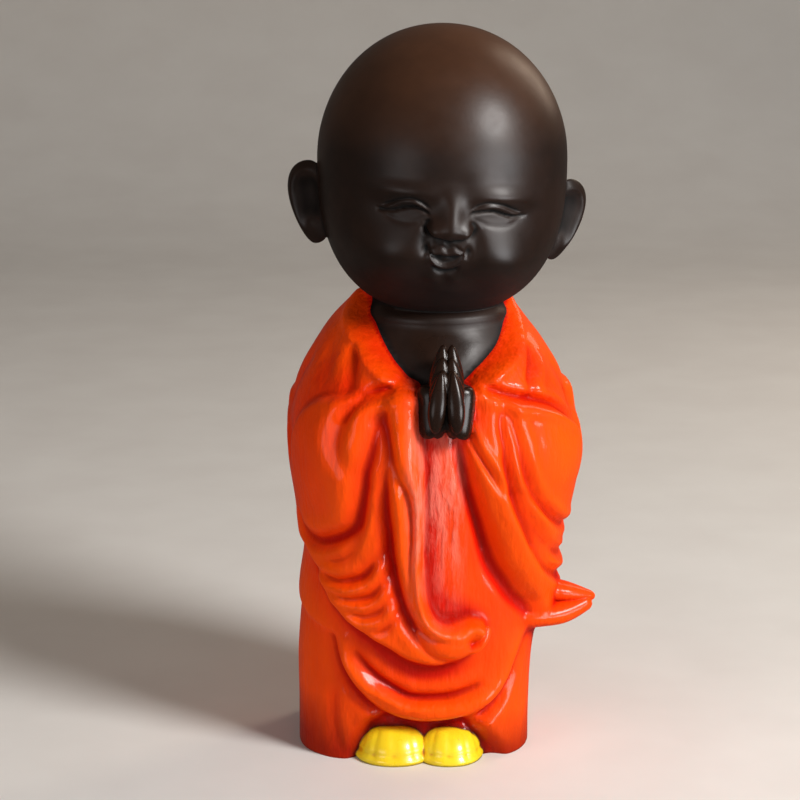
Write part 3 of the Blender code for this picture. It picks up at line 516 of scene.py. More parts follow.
def robe_layers():
    """The outlines of the robe's layers, on its map."""
    return {
        "outer robe": outline_of(
            SWAG_LOWER, ((60, 36), (100, 44), (150, 60), (180, 70)), ((180, 138), (0, 138)),
            ((-180, 138), (-180, 70), (-150, 58), (-100, 46), (-46, 36.5))),
        "left sleeve": outline_of(PANEL_FRONT, LEFT_SLEEVE_END, LEFT_HEM, LEFT_SLEEVE_BACK,
                                  backwards(LEFT_FOREARM)),
        "left panel": outline_of(PANEL_FRONT, LEFT_SLEEVE_END, backwards(PANEL_BACK)),
        "right sleeve": outline_of(RIGHT_FRONT, RIGHT_HEM, RIGHT_SLEEVE_BACK, backwards(RIGHT_FOREARM)),
        "chest": outline_of(COLLAR, ((94, 142), (-92, 142))),
        "shoe opening": outline_of(HEM_OVER_SHOES, ((52, -8), (-38, -8))),
    }


def fold_relief(fold, across, height):
    """One fold: a valley along its line, with a roll of cloth on each side."""
    depth, width, left_roll, right_roll, points = fold
    gap, along, hand = measure(map_line(points), across, height)
    fade = np.sqrt(clamp(np.sin(math.pi * along)))
    roll = np.where(hand > 0, left_roll, right_roll)
    return fade * (roll * groove(gap - 1.9 * width, 1.3 * width) - depth * groove(gap, width))


def robe_relief(turn, height):
    """How far the robe's cloth stands out from its body, at turns in degrees and heights."""
    across = turn * MAP_DEGREE
    outlines = robe_layers()

    def layer(name, edge=SLEEVE_EDGE):
        return rise_inside(outlines[name], across, height, edge)

    side = clamp((turn - 30) / 50)
    low = clamp((76 - height) / 20)
    left_rise = SLEEVE_RISE * (1 - 0.75 * clamp((-turn - 40) / 45))
    right_rise = SLEEVE_RISE * (0.6 + 0.4 * low) + RIGHT_SIDE_RISE * side * low
    relief = OUTER_ROBE_RISE * layer("outer robe") + left_rise * layer("left sleeve")
    relief += right_rise * layer("right sleeve") + PANEL_RISE * layer("left panel")
    for fold in FOLDS:
        relief += fold_relief(fold, across, height)
    for rise, middle_turn, middle_height, half_turn, half_height in SWELLS:
        apart = ((turn - middle_turn + 180) % 360 - 180) * MAP_DEGREE
        relief += rise * hill(apart, height, (0, middle_height), (half_turn * 1.2, half_height))
    collar_gap = depth_inside(outlines["chest"], across, height)
    relief += COLLAR_ROLL * groove(collar_gap + 1.6, 1.6)
    relief -= CHEST_SINK * (0.5 + 0.5 * np.tanh(collar_gap / COLLAR_EDGE))
    return relief - HEM_SINK * layer("shoe opening", COLLAR_EDGE)


def robe_form(turn, rise):
    """The robe's surface: rings of a squarish oval, moved outward by the cloth's relief."""
    turn = turn - ROBE_CROWDING * np.sin(turn)
    low, high = ROBE_PROFILE[0][0], ROBE_PROFILE[-1][0]
    margin = 1.0 / ROBE_MESH[1]
    height = low + (high - low) * clamp((rise - margin) / (1 - 2 * margin))
    half_width, half_depth, middle_x, middle_y, square = read_profile(ROBE_PROFILE, height)
    sine, cosine = np.sin(turn), np.cos(turn)
    reach = (np.abs(sine / half_width)**square + np.abs(cosine / half_depth)**square)**(-1 / square)
    reach = reach + robe_relief(np.degrees(turn), height)
    at_pole = (rise < margin / 2) | (rise > 1 - margin / 2)
    reach = np.where(at_pole, 0, reach)
    return points_of(middle_x + reach * sine, middle_y - reach * cosine, height)


# The neck and the head

def neck_form(turn, rise):
    """The neck and the bare chest that show inside the collar."""
    low, high = NECK_PROFILE[0][0], NECK_PROFILE[-1][0]
    height = low + (high - low) * clamp((rise - 0.03) / 0.94)
    half_width, half_depth = read_profile(NECK_PROFILE, height)
    ring = 0.5 * groove(height - 122.8, 1.1) - 0.3 * groove(height - 120.6, 1.0)
    closed = np.where((rise < 0.01) | (rise > 0.99), 0, 1)
    x = NECK_MIDDLE[0] + closed * (half_width + ring) * np.sin(turn)
    y = NECK_MIDDLE[1] - closed * (half_depth + ring) * np.cos(turn)
    return points_of(x, y, height)


def follow(line, place):
    """The height of a drawn line at these places across."""
    fine = smooth_line(line)
    return np.interp(place, fine[:, 0], fine[:, 1])


def between_lines(place, start, end):
    """0 at the start line and 1 at the end line above it."""
    return clamp((place - start) / np.maximum(end - start, 0.1))


def eye_relief(x, z, eye, seen, tail):
    """A closed, smiling eye: a rolled lid over the lash line, and a low rim under it."""
    fold, lash, rim = (follow(line, x) for line in eye)
    lid = between_lines(z, lash, fold)
    below = between_lines(-z, -lash, -rim)
    relief = 0.6 * seen * np.sin(math.pi * lid)**0.8
    relief -= 0.6 * seen * groove(z - fold - 0.1, 0.5)
    relief -= 1.1 * tail * groove(z - lash + 0.1, 0.4)
    relief += 0.4 * seen * (1 - below) * (z < lash)
    relief -= 0.18 * seen * groove(z - rim, 0.6)
    return relief


def nose_relief(x, z):
    """A button nose that runs down from a narrow bridge to full wings, undercut below."""
    side = np.abs(x - NOSE_MIDDLE)
    relief = hills(side, z, NOSE_HILLS)
    relief *= ease(z - 0.05 * side * side, -16.0, -14.4)
    around = np.hypot(side / 6.4, (z + 12.6) / 3.2)
    relief -= 1.0 * groove((around - 1) * 4.6, 0.6) * ease(side, 4.4, 5.6) * ease(-z, 10.0, 11.4)
    relief -= 0.6 * hill(side, z, (2.1, -15.2), (1.2, 0.6))
    return relief


def mouth_relief(x, z):
    """A small mouth, open in a smile over a full lower lip."""
    side = np.abs(x - MOUTH_MIDDLE)
    top, parting = follow(LIP_TOP, side), follow(LIP_PARTING, side)
    lower_top, foot = follow(LOWER_LIP_TOP, side), follow(LOWER_LIP_FOOT, side)
    seen = 1 - ease(side, 3.7, 5.0)
    upper = between_lines(z, parting, top)
    lower = between_lines(-z, -lower_top, -foot)
    opening = between_lines(-z, -parting, -lower_top)
    relief = hills(side, z, MOUTH_HILLS)
    relief += 0.3 * seen * np.sin(math.pi * upper)**0.7
    relief -= 0.4 * seen * groove(z - top - 0.35, 0.35)
    relief -= 1.5 * seen * np.sin(math.pi * opening)**0.5
    relief += 0.7 * seen * hill(side, z, (0, -20.7), (1.8, 0.6))
    relief += 0.4 * (1 - ease(side, 2.2, 4.2)) * np.sin(math.pi * lower)**0.7
    relief -= 0.8 * (1 - ease(side, 2.4, 4.2)) * groove(z - foot + 0.7, 0.7)
    return relief


def face_relief(x, z):
    """How far the face stands out from the plain head, at places across and up."""
    side = np.abs(x - FACE_MIDDLE)
    cheeks = 3.9 * hill(side, z, (14.4, -20.2), (9.2, np.where(z > -20.2, 6.2, 10.0)))
    relief = cheeks + hills(side, z, FACE_HILLS)
    left_seen = ease(x, -18.4, -15.6) * (1 - ease(x, -7.0, -4.6))
    left_tail = ease(x, -19.2, -17.0) * (1 - ease(x, -6.4, -4.6))
    right_seen = ease(x, 4.8, 7.2) * (1 - ease(x, 17.2, 20.6))
    right_tail = ease(x, 4.8, 6.6) * (1 - ease(x, 18.9, 21.4))
    relief += eye_relief(x, z, LEFT_EYE, left_seen, left_tail)
    relief += eye_relief(x, z, RIGHT_EYE, right_seen, right_tail)
    return relief + nose_relief(x, z) + mouth_relief(x, z)


def crowd(share, start, end, room):
    """Spread shares from 0 to 1 unevenly, so that this much of them falls between start and end."""
    first = (1 - room) * start / (start + 1 - end)
    return np.interp(share, (0.0, first, first + room, 1.0), (0.0, start, end, 1.0))


def on_ball(turn, rise):
    """The place on a ball of radius 1 at this turn and rise."""
    tilt = (rise - 0.5) * math.pi
    return np.sin(turn) * np.cos(tilt), -np.cos(turn) * np.cos(tilt), np.sin(tilt)


def girth_at(rise, power=1.0):
    """How wide a ball is at this rise, blunter the lower the power is."""
    return np.cos((rise - 0.5) * math.pi)**power


def head_form(turn, rise):
    """The bald head, in its own frame: a round skull that widens into full cheeks."""
    turn = (crowd(turn / (2 * math.pi) + 0.5, *FACE_TURNS) - 0.5) * 2 * math.pi
    x, y, z = on_ball(turn, crowd(rise, *FACE_RISES))
    low = 1 / (1 + np.exp(z / 0.12))
    power = 2.06 + 0.42 * low
    half_depth = np.where(y < 0, HEAD_FRONT, HEAD_BACK)
    half_height = HEAD_TOP + (HEAD_BOTTOM - HEAD_TOP) * low
    level = np.hypot(x / HEAD_HALF_WIDTH, y / half_depth)
    reach = (level**power + np.abs(z / half_height)**power)**(-1 / power)
    front = 1 / (1 + np.exp((y + 0.35) / 0.08))
    lean = math.radians(FACE_TILT)
    across = reach * (x * math.cos(lean) - z * math.sin(lean))
    up = reach * (x * math.sin(lean) + z * math.cos(lean))
    reach = reach + front * face_relief(across, up)
    return points_of(reach * x, reach * y, reach * z)


def ear_form(turn, rise):
    """One ear, lying flat and facing -Y, its outer edge toward +X: a rolled rim, a hollow and a lobe."""
    x, y, z = on_ball(turn, rise)
    wide = 0.5 * EAR_DEPTH * (1 + EAR_LOBE * (x > 0) * z)
    tall = 0.5 * EAR_HEIGHT
    out = np.hypot(x, z)
    angle = np.degrees(np.arctan2(z, x))
    rimmed = ease(angle, -75, -35) * (1 - ease(angle, 120, 160))
    front = 1.9 + 1.0 * rimmed * groove(out - 0.80, 0.13)
    front -= 2.7 * np.exp(-((x - 0.02) / 0.42)**4 - ((z - 0.14) / 0.52)**4)
    whorl = groove(np.hypot((x + 0.16) / 0.8, z - 0.02) - 0.42, 0.11)
    front += 0.9 * whorl * ease(x, -0.2, 0.2) * ease(-z, -0.4, 0)
    thickness = np.where(y < 0, np.maximum(front, 0.1), 1.6)
    return points_of(wide * x, thickness * y, tall * z)


def place_head(piece, tilt_angle=0.0, local=Matrix.Identity(4)):
    """Tilt, turn and lift a form of the head from the head's own frame to its place."""
    tilt = Matrix.Rotation(math.radians(tilt_angle), 4, "Y")
    turn = Matrix.Rotation(math.radians(FACE_TURN), 4, "Z")
    lift = Matrix.Translation(Vector(HEAD_MIDDLE) * MM)
    piece.data.transform(lift @ tilt @ turn @ local)


# The hands, the shoes and the ends of the sleeves

def finger_form(depth, tip, width):
    """A finger pressed against its neighbour: upright, leaning in toward a round tip."""
    def form(turn, rise):
        girth = girth_at(rise, 0.55)
        up = 8.0 + (tip - 8.0) * rise
        slim = 1 - FINGER_TAPER * clamp((up - 9) / (tip - 9))
        across = FINGER_THICKNESS * np.maximum(0.36 + 0.64 * girth * np.sin(turn), -0.06) * slim
        back = depth - 0.62 * width * girth * np.cos(turn)
        return points_of(across, back, up)
    return form


def thumb_form(turn, rise):
    """The thumb and its ball, along the front of the hand."""
    girth = girth_at(rise, 0.5)
    up = 1.2 + 16.6 * rise
    full = 1 - 0.45 * rise**1.6
    middle = 2.8 - 1.35 * rise**1.6
    across = np.maximum(middle + 2.75 * full * girth * signed_power(np.sin(turn), 0.8), -0.1)
    back = 0.6 - 2.9 * full * girth * signed_power(np.cos(turn), 0.7)
    return points_of(across, back, up)


def palm_form(turn, rise):
    """The palm with its heel: thickest low down, next to the wrist."""
    girth = girth_at(rise, 0.45)
    up = PALM_HEIGHT * rise - 0.6
    across = PALM_THICKNESS * (1 - 0.25 * rise**2) * np.maximum(0.4 + 0.6 * girth * np.sin(turn), -0.06)
    back = 0.5 * PALM_WIDTH - 0.46 * PALM_WIDTH * girth * np.cos(turn)
    return points_of(across, back, up)


def wrist_form(turn, rise):
    """Both wrists, where they go into the sleeves: wide and square, behind the palms."""
    girth = clamp(1 - np.abs(2 * rise - 1)**6)**(1 / 6)
    across = 8.2 * (0.84 + 0.16 * rise) * girth * signed_power(np.sin(turn), 0.55)
    back = 7.8 - 5.8 * girth * signed_power(np.cos(turn), 0.6)
    notch = 2.6 * (1 - rise) * groove(across, 2.6)
    return points_of(across, back, -1.0 + 15.0 * rise + notch)


def press_form(turn, rise):
    """What fills the groove between the two hands, set back a little from their front."""
    girth = girth_at(rise, 0.5)
    across = 0.22 * PALM_THICKNESS * girth * np.sin(turn)
    back = 0.5 * PALM_WIDTH - 0.42 * PALM_WIDTH * girth * np.cos(turn)
    return points_of(across, back, 1.0 + 19.0 * rise)


def shoe_form(middle, half_width, high):
    """A soft shoe with a welt round its sole and seams that gather over the toe."""
    def form(turn, rise):
        x = np.sin(turn) * girth_at(rise, 0.75)
        y = -np.cos(turn) * girth_at(rise, 0.9)
        z = np.sin((rise - 0.5) * math.pi)
        fan = np.degrees(np.arctan2(x, 0.5 - y)) / SHOE_SEAM_TURN
        seam = np.abs(fan - np.round(fan))
        upper = clamp(z / 0.2) * (1 - ease(z, 0.8, 0.98))
        low = clamp(1 - z)**2
        plump = 1 + upper * (0.015 - 0.03 * groove(seam, 0.15))
        spread = signed_power(x, 0.9) * (0.97 + 0.06 * low)
        height = np.where(z > 0, high * np.abs(z)**0.86, -3.0 * np.abs(z)**0.3)
        welt = 1 + 0.05 * groove(height - 0.9, 0.9) - 0.03 * groove(height - 2.6, 0.6)
        across = middle + half_width * spread * plump * welt
        along = SHOE_FRONT + 0.5 * SHOE_LENGTH * (1 + y * plump * welt)
        peak = 0.9 * upper * hill(x, y, (-0.15, -0.35), (0.25, 0.35))
        return points_of(across, along, height * (1 + 0.5 * (plump - 1)) + peak)
    return form


def read_along(table, spot):
    """Read a table's rows at places between them."""
    rows = np.arange(len(table))
    return np.stack([np.interp(spot, rows, column) for column in table.T], axis=-1)


def tapered_form(path, sizes):
    """A bent horn of cloth along a path, with its half width and half height at each point."""
    line = smooth_line(path)
    girth = smooth_line(sizes)

    def form(turn, rise):
        spot = (0.5 - 0.5 * np.cos(rise * math.pi)) * (len(line) - 1)
        middle = read_along(line, spot)
        ahead = read_along(np.gradient(line, axis=0), spot)
        ahead /= np.linalg.norm(ahead, axis=-1, keepdims=True)
        width, height = read_along(girth, spot).T
        up = np.array((0.0, 0.0, 1.0)) - ahead * ahead[:, 2:3]
        up /= np.linalg.norm(up, axis=-1, keepdims=True)
        out = np.cross(ahead, up)
        round_end = clamp(girth_at(rise) * 2.2)**0.5
        return (middle + out * (width * round_end * np.sin(turn))[:, None]
                + up * (height * round_end * np.cos(turn))[:, None])
    return form


# Modelling

def read_vectors(vertices, name):
    """One vector of each vertex, its place or its normal, as a table."""
    values = np.empty(3 * len(vertices))
    vertices.foreach_get(name, values)
    return values.reshape(-1, 3)


def shaped_ball(name, fineness, form, coat, coats):
    """A ball of clay, pressed vertex by vertex into form(turn, rise), with the rise from 0 to 1."""
    bpy.ops.mesh.primitive_uv_sphere_add(segments=fineness[0], ring_count=fineness[1], radius=1.0,
                                         calc_uvs=False)
    piece = bpy.context.object
    piece.name = name
    mesh = piece.data
    for paint in coats:
        mesh.materials.append(paint)
    ball = read_vectors(mesh.vertices, "co")
    turn = np.arctan2(ball[:, 0], -ball[:, 1])
    rise = np.arcsin(np.clip(ball[:, 2], -1, 1)) / math.pi + 0.5
    places = form(turn, rise) * MM
    mesh.vertices.foreach_set("co", places.ravel())
    mesh.polygons.foreach_set("material_index", [coat] * len(mesh.polygons))
    mesh.update()
    return piece


def mirrored(piece):
    """Turn a right-hand form into a left-hand one."""
    piece.data.transform(Matrix.Scale(-1, 4, (1, 0, 0)))
    piece.data.flip_normals()


def model_head(coats):
    """The head and its two ears, each in its place."""
    head = shaped_ball("head", HEAD_MESH, head_form, SKIN, coats)
    place_head(head)
    parts = [head]
    for side in (-1, 1):
        ear = shaped_ball("ear", EAR_MESH, ear_form, SKIN, coats)
        if side < 0:
            mirrored(ear)
        swing = Matrix.Rotation(math.radians(side * EAR_SPREAD), 4, "Z")
        lean = Matrix.Rotation(math.radians(side * EAR_LEAN), 4, "Y")
        place = Matrix.Translation(Vector((side * EAR_ACROSS, EAR_BACK, EAR_UP)) * MM)
        place_head(ear, FACE_TILT, place @ lean @ swing)
        parts.append(ear)
    return parts


def model_hands(coats):
    """The praying pair: on each side a palm, a thumb and four fingers, and the fill between them."""
    lean = Matrix.Rotation(math.radians(-HAND_LEAN), 4, "X")
    roll = Matrix.Rotation(math.radians(HAND_ROLL), 4, "Y")
    place = Matrix.Translation(Vector(HANDS_FOOT) * MM) @ roll @ lean
    parts = [shaped_ball("between the hands", FINGER_MESH, press_form, SKIN, coats),
             shaped_ball("wrists", HAND_MESH, wrist_form, SKIN, coats)]
    forms = [(HAND_MESH, palm_form), (HAND_MESH, thumb_form)]
    forms += [(FINGER_MESH, finger_form(*finger)) for finger in FINGERS]
    for fineness, form in forms:
        for side in (-1, 1):
            part = shaped_ball("hand", fineness, form, SKIN, coats)
            if side < 0:
                mirrored(part)
            parts.append(part)
    for part in parts:
        part.data.transform(place)
    return parts


def model_statue(coats):
    """All forms, joined into one casting with a flat underside."""
    statue = shaped_ball("baby_monk", ROBE_MESH, robe_form, ROBE, coats)
    parts = [shaped_ball("neck", NECK_MESH, neck_form, SKIN, coats)]
    parts += model_head(coats) + model_hands(coats)
    for shoe in SHOES:
        parts.append(shaped_ball("shoe", SHOE_MESH, shoe_form(*shoe), SHOE, coats))
    for end in SLEEVE_ENDS:
        parts.append(shaped_ball("sleeve end", TIP_MESH, tapered_form(*end), ROBE, coats))
    pick_only(statue)
    for part in parts:
        join = statue.modifiers.new("join", "BOOLEAN")
        join.operation = "UNION"
        join.solver = "MANIFOLD"
        join.object = part
        bpy.ops.object.modifier_apply(modifier=join.name)
    for part in parts:
        bpy.data.meshes.remove(part.data)
    even_collar(statue)
    melt_joints(statue)
    dent(statue, *ROLL_OPENING)
    cut_underside(statue)
    return statue


def set_mode(mode):
    bpy.ops.object.mode_set(mode=mode)


def pick_only(piece):
    bpy.ops.object.select_all(action="DESELECT")
    piece.select_set(True)
    bpy.context.view_layer.objects.active = piece


def cut_underside(statue):
    """Cut the casting off level with the floor and close it."""
    pick_only(statue)
    set_mode("EDIT")
    bpy.ops.mesh.select_all(action="SELECT")
    bpy.ops.mesh.bisect(plane_co=(0, 0, 0), plane_no=(0, 0, 1), use_fill=True, clear_inner=True)
    set_mode("OBJECT")


def mesh_table(mesh):
    """The mesh's places and its edges."""
    edges = np.empty(2 * len(mesh.edges), dtype=np.int64)
    mesh.edges.foreach_get("vertices", edges)
    return read_vectors(mesh.vertices, "co"), edges.reshape(-1, 2)


def border_edges(mesh):
    """The edges where two coats of paint meet."""
    coat_of = {}
    border = []
    for face in mesh.polygons:
        for key in face.edge_keys:
            known = coat_of.setdefault(key, face.material_index)
            if known != face.material_index:
                border.append(key)
    return border


def spread_out(chosen, edges, rings):
    """Grow a choice of vertices by this many rings."""
    for _ in range(rings):
        grown = chosen.copy()
        grown[edges[chosen[edges[:, 1]], 0]] = True
        grown[edges[chosen[edges[:, 0]], 1]] = True
        chosen = grown
    return chosen


def smooth_vertices(statue, chosen, repeat):
    pick_only(statue)
    set_mode("EDIT")
    bpy.ops.mesh.select_mode(type="VERT")
    bpy.ops.mesh.select_all(action="DESELECT")
    set_mode("OBJECT")
    statue.data.vertices.foreach_set("select", chosen)
    set_mode("EDIT")
    bpy.ops.mesh.vertices_smooth(factor=0.5, repeat=repeat)
    set_mode("OBJECT")


def even_collar(statue):
    """Even out the lines where the robe meets the skin above the sleeves."""
    mesh = statue.data
    places, edges = mesh_table(mesh)
    border = np.array([pair for pair in border_edges(mesh) if places[pair[0], 2] > COLLAR_LOW * MM])
    collar = np.zeros(len(places), dtype=bool)
    collar[border.ravel()] = True
    places[collar] = settle(places, border, 40)[collar]
    mesh.vertices.foreach_set("co", places.ravel())
    smooth_vertices(statue, spread_out(collar, edges, 3) & ~collar, 6)


def melt_joints(statue):
    """Melt the ears and the sleeve ends into what carries them."""
    work = bmesh.new()
    work.from_mesh(statue.data)
    joint = np.zeros(len(work.verts), dtype=bool)
    for edge in work.edges:
        x, y, z = edge.verts[0].co / MM
        by_ear = z > EAR_ROOT_LOW and abs(x - HEAD_MIDDLE[0]) > EAR_ROOT_ASIDE
        beside = SLEEVE_END_HEIGHTS[0] < z < SLEEVE_END_HEIGHTS[1]
        by_end = beside and (x > 26 or (0 < x < 24 and y < -20))
        if (by_ear or by_end) and edge.calc_face_angle_signed(0) < JOINT_BEND:
            joint[[edge.verts[0].index, edge.verts[1].index]] = True
    work.free()
    smooth_vertices(statue, spread_out(joint, mesh_table(statue.data)[1], 2), 8)


def dent(statue, middle, radius, push):
    """Press a soft hollow into the surface, like the open end of a roll."""
    for vertex in statue.data.vertices:
        gap = (vertex.co / MM - Vector(middle)).length / radius
        if gap < 1:
            vertex.co += Vector(push) * MM * (1 - gap * gap)**2


def settle(values, edges, rounds):
    """Let each value drift half way to the mean of its neighbours, round after round."""
    count = len(values)
    neighbours = np.maximum(np.bincount(edges.ravel(), minlength=count), 1)[:, None]
    columns = values.reshape(count, -1)
    for _ in range(rounds):
        total = np.zeros_like(columns)
        for k in range(columns.shape[1]):
            for own, other in ((0, 1), (1, 0)):
                total[:, k] += np.bincount(edges[:, own], columns[edges[:, other], k], minlength=count)
        columns = columns + 0.5 * (total / neighbours - columns)
    return columns.reshape(values.shape)


def write_attribute(mesh, name, values):
    layer = mesh.attributes.new(name, "FLOAT", "POINT")
    layer.data.foreach_set("value", values.astype(np.float32))


def mark_creases(mesh):
    """Write how deep each place lies in a crease (+) or how high on a ridge (-), for the paint."""
    places, edges = mesh_table(mesh)
    normals = read_vectors(mesh.vertices, "normal")
    for name, rounds, span in CREASE_SCALES:
        depth = ((settle(places, edges, rounds) - places) * normals).sum(axis=1) / MM / span
        write_attribute(mesh, name, settle(np.clip(depth, -1, 1), edges, 2))


def mark_borders(mesh):
    """Write how near each place is to the line where the shoes meet the robe."""
    places, edges = mesh_table(mesh)
    border = [pair for pair in border_edges(mesh) if places[pair[0], 2] < SHOES_HIGH * MM]
    tree = kdtree.KDTree(2 * len(border))
    for number, (first, last) in enumerate(border):
        tree.insert(places[first], 2 * number)
        tree.insert(places[last], 2 * number + 1)
    tree.balance()
    gaps = np.array([tree.find(place)[2] for place in places]) / MM
    write_attribute(mesh, "border", settle(groove(gaps, SHOE_LINE_WIDTH), edges, 2))


# Materials

class Nodes:
    """A short way to lay out a material's nodes."""

    def __init__(self, name):
        self.material = bpy.data.materials.new(name)
        self.material.use_nodes = True
        self.tree = self.material.node_tree
        self.shader = self.tree.nodes["Principled BSDF"]
        self.coordinates = self.node("TexCoord").outputs["Object"]

    def link(self, source, target):
        if isinstance(source, bpy.types.NodeSocket):
            self.tree.links.new(source, target)
        else:
            target.default_value = source

    def fill(self, node, inputs):
        for name, value in inputs.items():
            self.link(value, node.inputs[name.replace("_", " ")])

    def node(self, kind, **inputs):
        node = self.tree.nodes.new("ShaderNode" + kind)
        self.fill(node, inputs)
        return node

    def attribute(self, name):
        node = self.node("Attribute")
        node.attribute_name = name
        return node.outputs["Fac"]

    def noise(self, scale, detail=4.0, roughness=0.5, stretch=(1, 1, 1)):
        place = self.node("Mapping", Vector=self.coordinates, Scale=stretch).outputs["Vector"]
        node = self.node("TexNoise", Vector=place, Scale=scale, Detail=detail, Roughness=roughness)
        return node.outputs["Fac"]

    def ramp(self, value, low, high, to_low=0.0, to_high=1.0):
        """Stretch a value's range from low to high onto another, and stop at its ends."""
        limits = {"From_Min": low, "From_Max": high, "To_Min": to_low, "To_Max": to_high}
        return self.node("MapRange", Value=value, **limits).outputs["Result"]

    def math(self, operation, first, second):
        node = self.node("Math")
        node.operation = operation
        self.link(first, node.inputs[0])
        self.link(second, node.inputs[1])
        return node.outputs[0]

    def times(self, first, second):
        return self.math("MULTIPLY", first, second)

    def plus(self, first, second):
        return self.math("ADD", first, second)

    def mix(self, share, first, second):
        node = self.node("Mix", Factor=share)
        node.data_type = "RGBA"
        self.link(first, node.inputs[6])
        self.link(second, node.inputs[7])
        return node.outputs[2]

    def part_of(self, vector, axis):
        return self.node("SeparateXYZ", Vector=vector).outputs[axis]

    def height(self):
        return self.part_of(self.coordinates, "Z")

    def upturn(self):
        """How far the surface looks up, from -1 to 1."""
        return self.part_of(self.coordinates.node.outputs["Normal"], "Z")

    def within(self, axis, start, end, edge):
        """1 between two places along an axis, and 0 outside them."""
        place = self.part_of(self.coordinates, axis)
        after = self.ramp(place, start - edge, start + edge)
        before = self.ramp(place, end + edge, end - edge)
        return self.times(after, before)

    def bump(self, value, distance, strength):
        node = self.node("Bump", Strength=strength, Distance=distance, Height=value)
        self.set(Normal=node.outputs["Normal"])

    def set(self, **inputs):
        self.fill(self.shader, inputs)


def rgb(red, green, blue):
    return (red, green, blue, 1.0)


def skin_paint():
    """Satin, nearly black brown: warmer on the crown as painted light, nearly black in the creases as
    painted shade, glossier on the hands, dull in the hollows.
    """
    paint = Nodes("dark satin skin")
    cloud = paint.noise(45.0, 5.0, 0.6)
    patches = paint.ramp(cloud, 0.38, 0.68)
    colour = paint.mix(patches, rgb(0.0095, 0.0040, 0.0024), rgb(0.019, 0.0080, 0.0046))
    # Painted light: a patchy, warmer and lighter brown toward the top of the head, as if lit from above
    crown = paint.times(paint.ramp(paint.height(), 0.168, 0.2), paint.ramp(cloud, 0.2, 0.8, 0.5, 1.0))
    colour = paint.mix(crown, colour, rgb(0.085, 0.034, 0.016))
    # Painted shade: the creases darken to nearly black
    crease = paint.ramp(paint.attribute("crease"), 0.15, 0.8)
    colour = paint.mix(crease, colour, rgb(0.002, 0.001, 0.0007))
    rough = paint.ramp(paint.noise(220.0, 3.0), 0.3, 0.7, 0.36, 0.42)
    # Rougher in creases, underneath and in hollows, and smoother on the neck and the hands
    for change in (
        paint.times(crease, 0.3),
        paint.ramp(paint.upturn(), -0.3, -0.8, 0.0, 0.4),
        paint.ramp(paint.height(), 0.13, 0.124, 0.0, -0.12),
        paint.ramp(paint.attribute("hollow"), 0.0, 0.45, 0.0, 0.2),
    ):
        rough = paint.plus(rough, change)
    paint.set(Base_Color=colour, Roughness=paint.math("MINIMUM", rough, 0.9))
    paint.set(Specular_IOR_Level=0.28)
    paint.bump(paint.noise(900.0, 3.0), 0.00005, 0.25)
    return paint.material


def robe_paint():
    """Thick gloss orange, brushed on, that runs to deep red in the folds, the collar and the foot, with
    painted shade and painted highlights.
    """
    paint = Nodes("gloss orange robe")
    hollow = paint.attribute("hollow")
    cloud = paint.noise(45.0, 5.0, 0.55, (1, 1, 0.5))
    colour = paint.mix(paint.ramp(cloud, 0.3, 0.7), rgb(0.76, 0.034, 0.0005), rgb(0.90, 0.062, 0.0008))
    # Painted highlight: the raised folds turn a lighter orange
    ridge = paint.times(paint.ramp(hollow, -0.1, -0.9), 0.5)
    colour = paint.mix(ridge, colour, rgb(0.95, 0.105, 0.001))
    # Patchy deep red round the collar, in front
    collar = paint.times(paint.within("Z", 0.1, 0.128, 0.006), paint.within("Y", -0.1, -0.008, 0.006))
    collar_red = paint.times(collar, paint.ramp(paint.noise(70.0, 3.0, 0.5), 0.35, 0.65, 0.15, 0.6))
    # Painted shade: the left side turns redder, above the lowest part of the robe
    side = paint.ramp(paint.part_of(paint.coordinates, "X"), -0.014, -0.032, 0.0, 0.5)
    side = paint.times(side, paint.ramp(paint.height(), 0.055, 0.085))
    # Deep red in the hollows: the figure's own red wash, deepened as painted shade; also on the collar and
    # on the shaded left side
    red = paint.math("MAXIMUM", paint.ramp(hollow, 0.0, 0.55), paint.math("MAXIMUM", collar_red, side))
    colour = paint.mix(red, colour, rgb(0.60, 0.008, 0.0005))
    # Painted sheen: pinkish streaks on the strip between the sleeves
    strip = paint.times(paint.within("X", -0.001, 0.013, 0.002), paint.within("Z", 0.055, 0.1, 0.02))
    strip = paint.times(strip, paint.within("Y", -0.1, -0.01, 0.004))
    streaks = paint.noise(260.0, 4.0, 0.65, (1.4, 1.0, 0.35))
    sheen = paint.times(strip, paint.ramp(streaks, 0.40, 0.60, 0.05, 0.6))
    colour = paint.mix(sheen, colour, rgb(0.86, 0.26, 0.19))
    ragged = paint.plus(paint.height(), paint.ramp(cloud, 0.3, 0.7, -0.004, 0.004))
    colour = paint.mix(paint.ramp(ragged, 0.016, 0.002, 0.0, 0.85), colour, rgb(0.25, 0.004, 0.001))
    # Painted shade: the fine creases darken further, to a dark red
    crease = paint.ramp(paint.attribute("crease"), 0.3, 1.0)
    colour = paint.mix(paint.times(crease, 0.65), colour, rgb(0.30, 0.003, 0.0003))
    edge = paint.times(paint.attribute("border"), 0.85)
    colour = paint.mix(edge, colour, rgb(0.06, 0.008, 0.004))
    wave = paint.noise(150.0, 3.0, 0.5, (1, 1, 0.5))
    strokes = paint.noise(900.0, 3.0, 0.6, (1, 1, 0.14))
    rough = paint.ramp(strokes, 0.3, 0.7, 0.42, 0.52)
    paint.set(Base_Color=colour, Roughness=rough, Specular_IOR_Level=0.05)
    paint.set(Coat_Weight=paint.ramp(crease, 0.0, 1.0, 0.24, 0.0), Coat_Roughness=0.09)
    marks = paint.plus(strokes, paint.times(streaks, paint.ramp(strip, 0.0, 1.0, 0.3, 5.0)))
    dents = paint.times(wave, paint.ramp(collar, 0.0, 1.0, 4.0, 6.5))
    paint.bump(paint.plus(dents, marks), 0.00028, 0.9)
    return paint.material


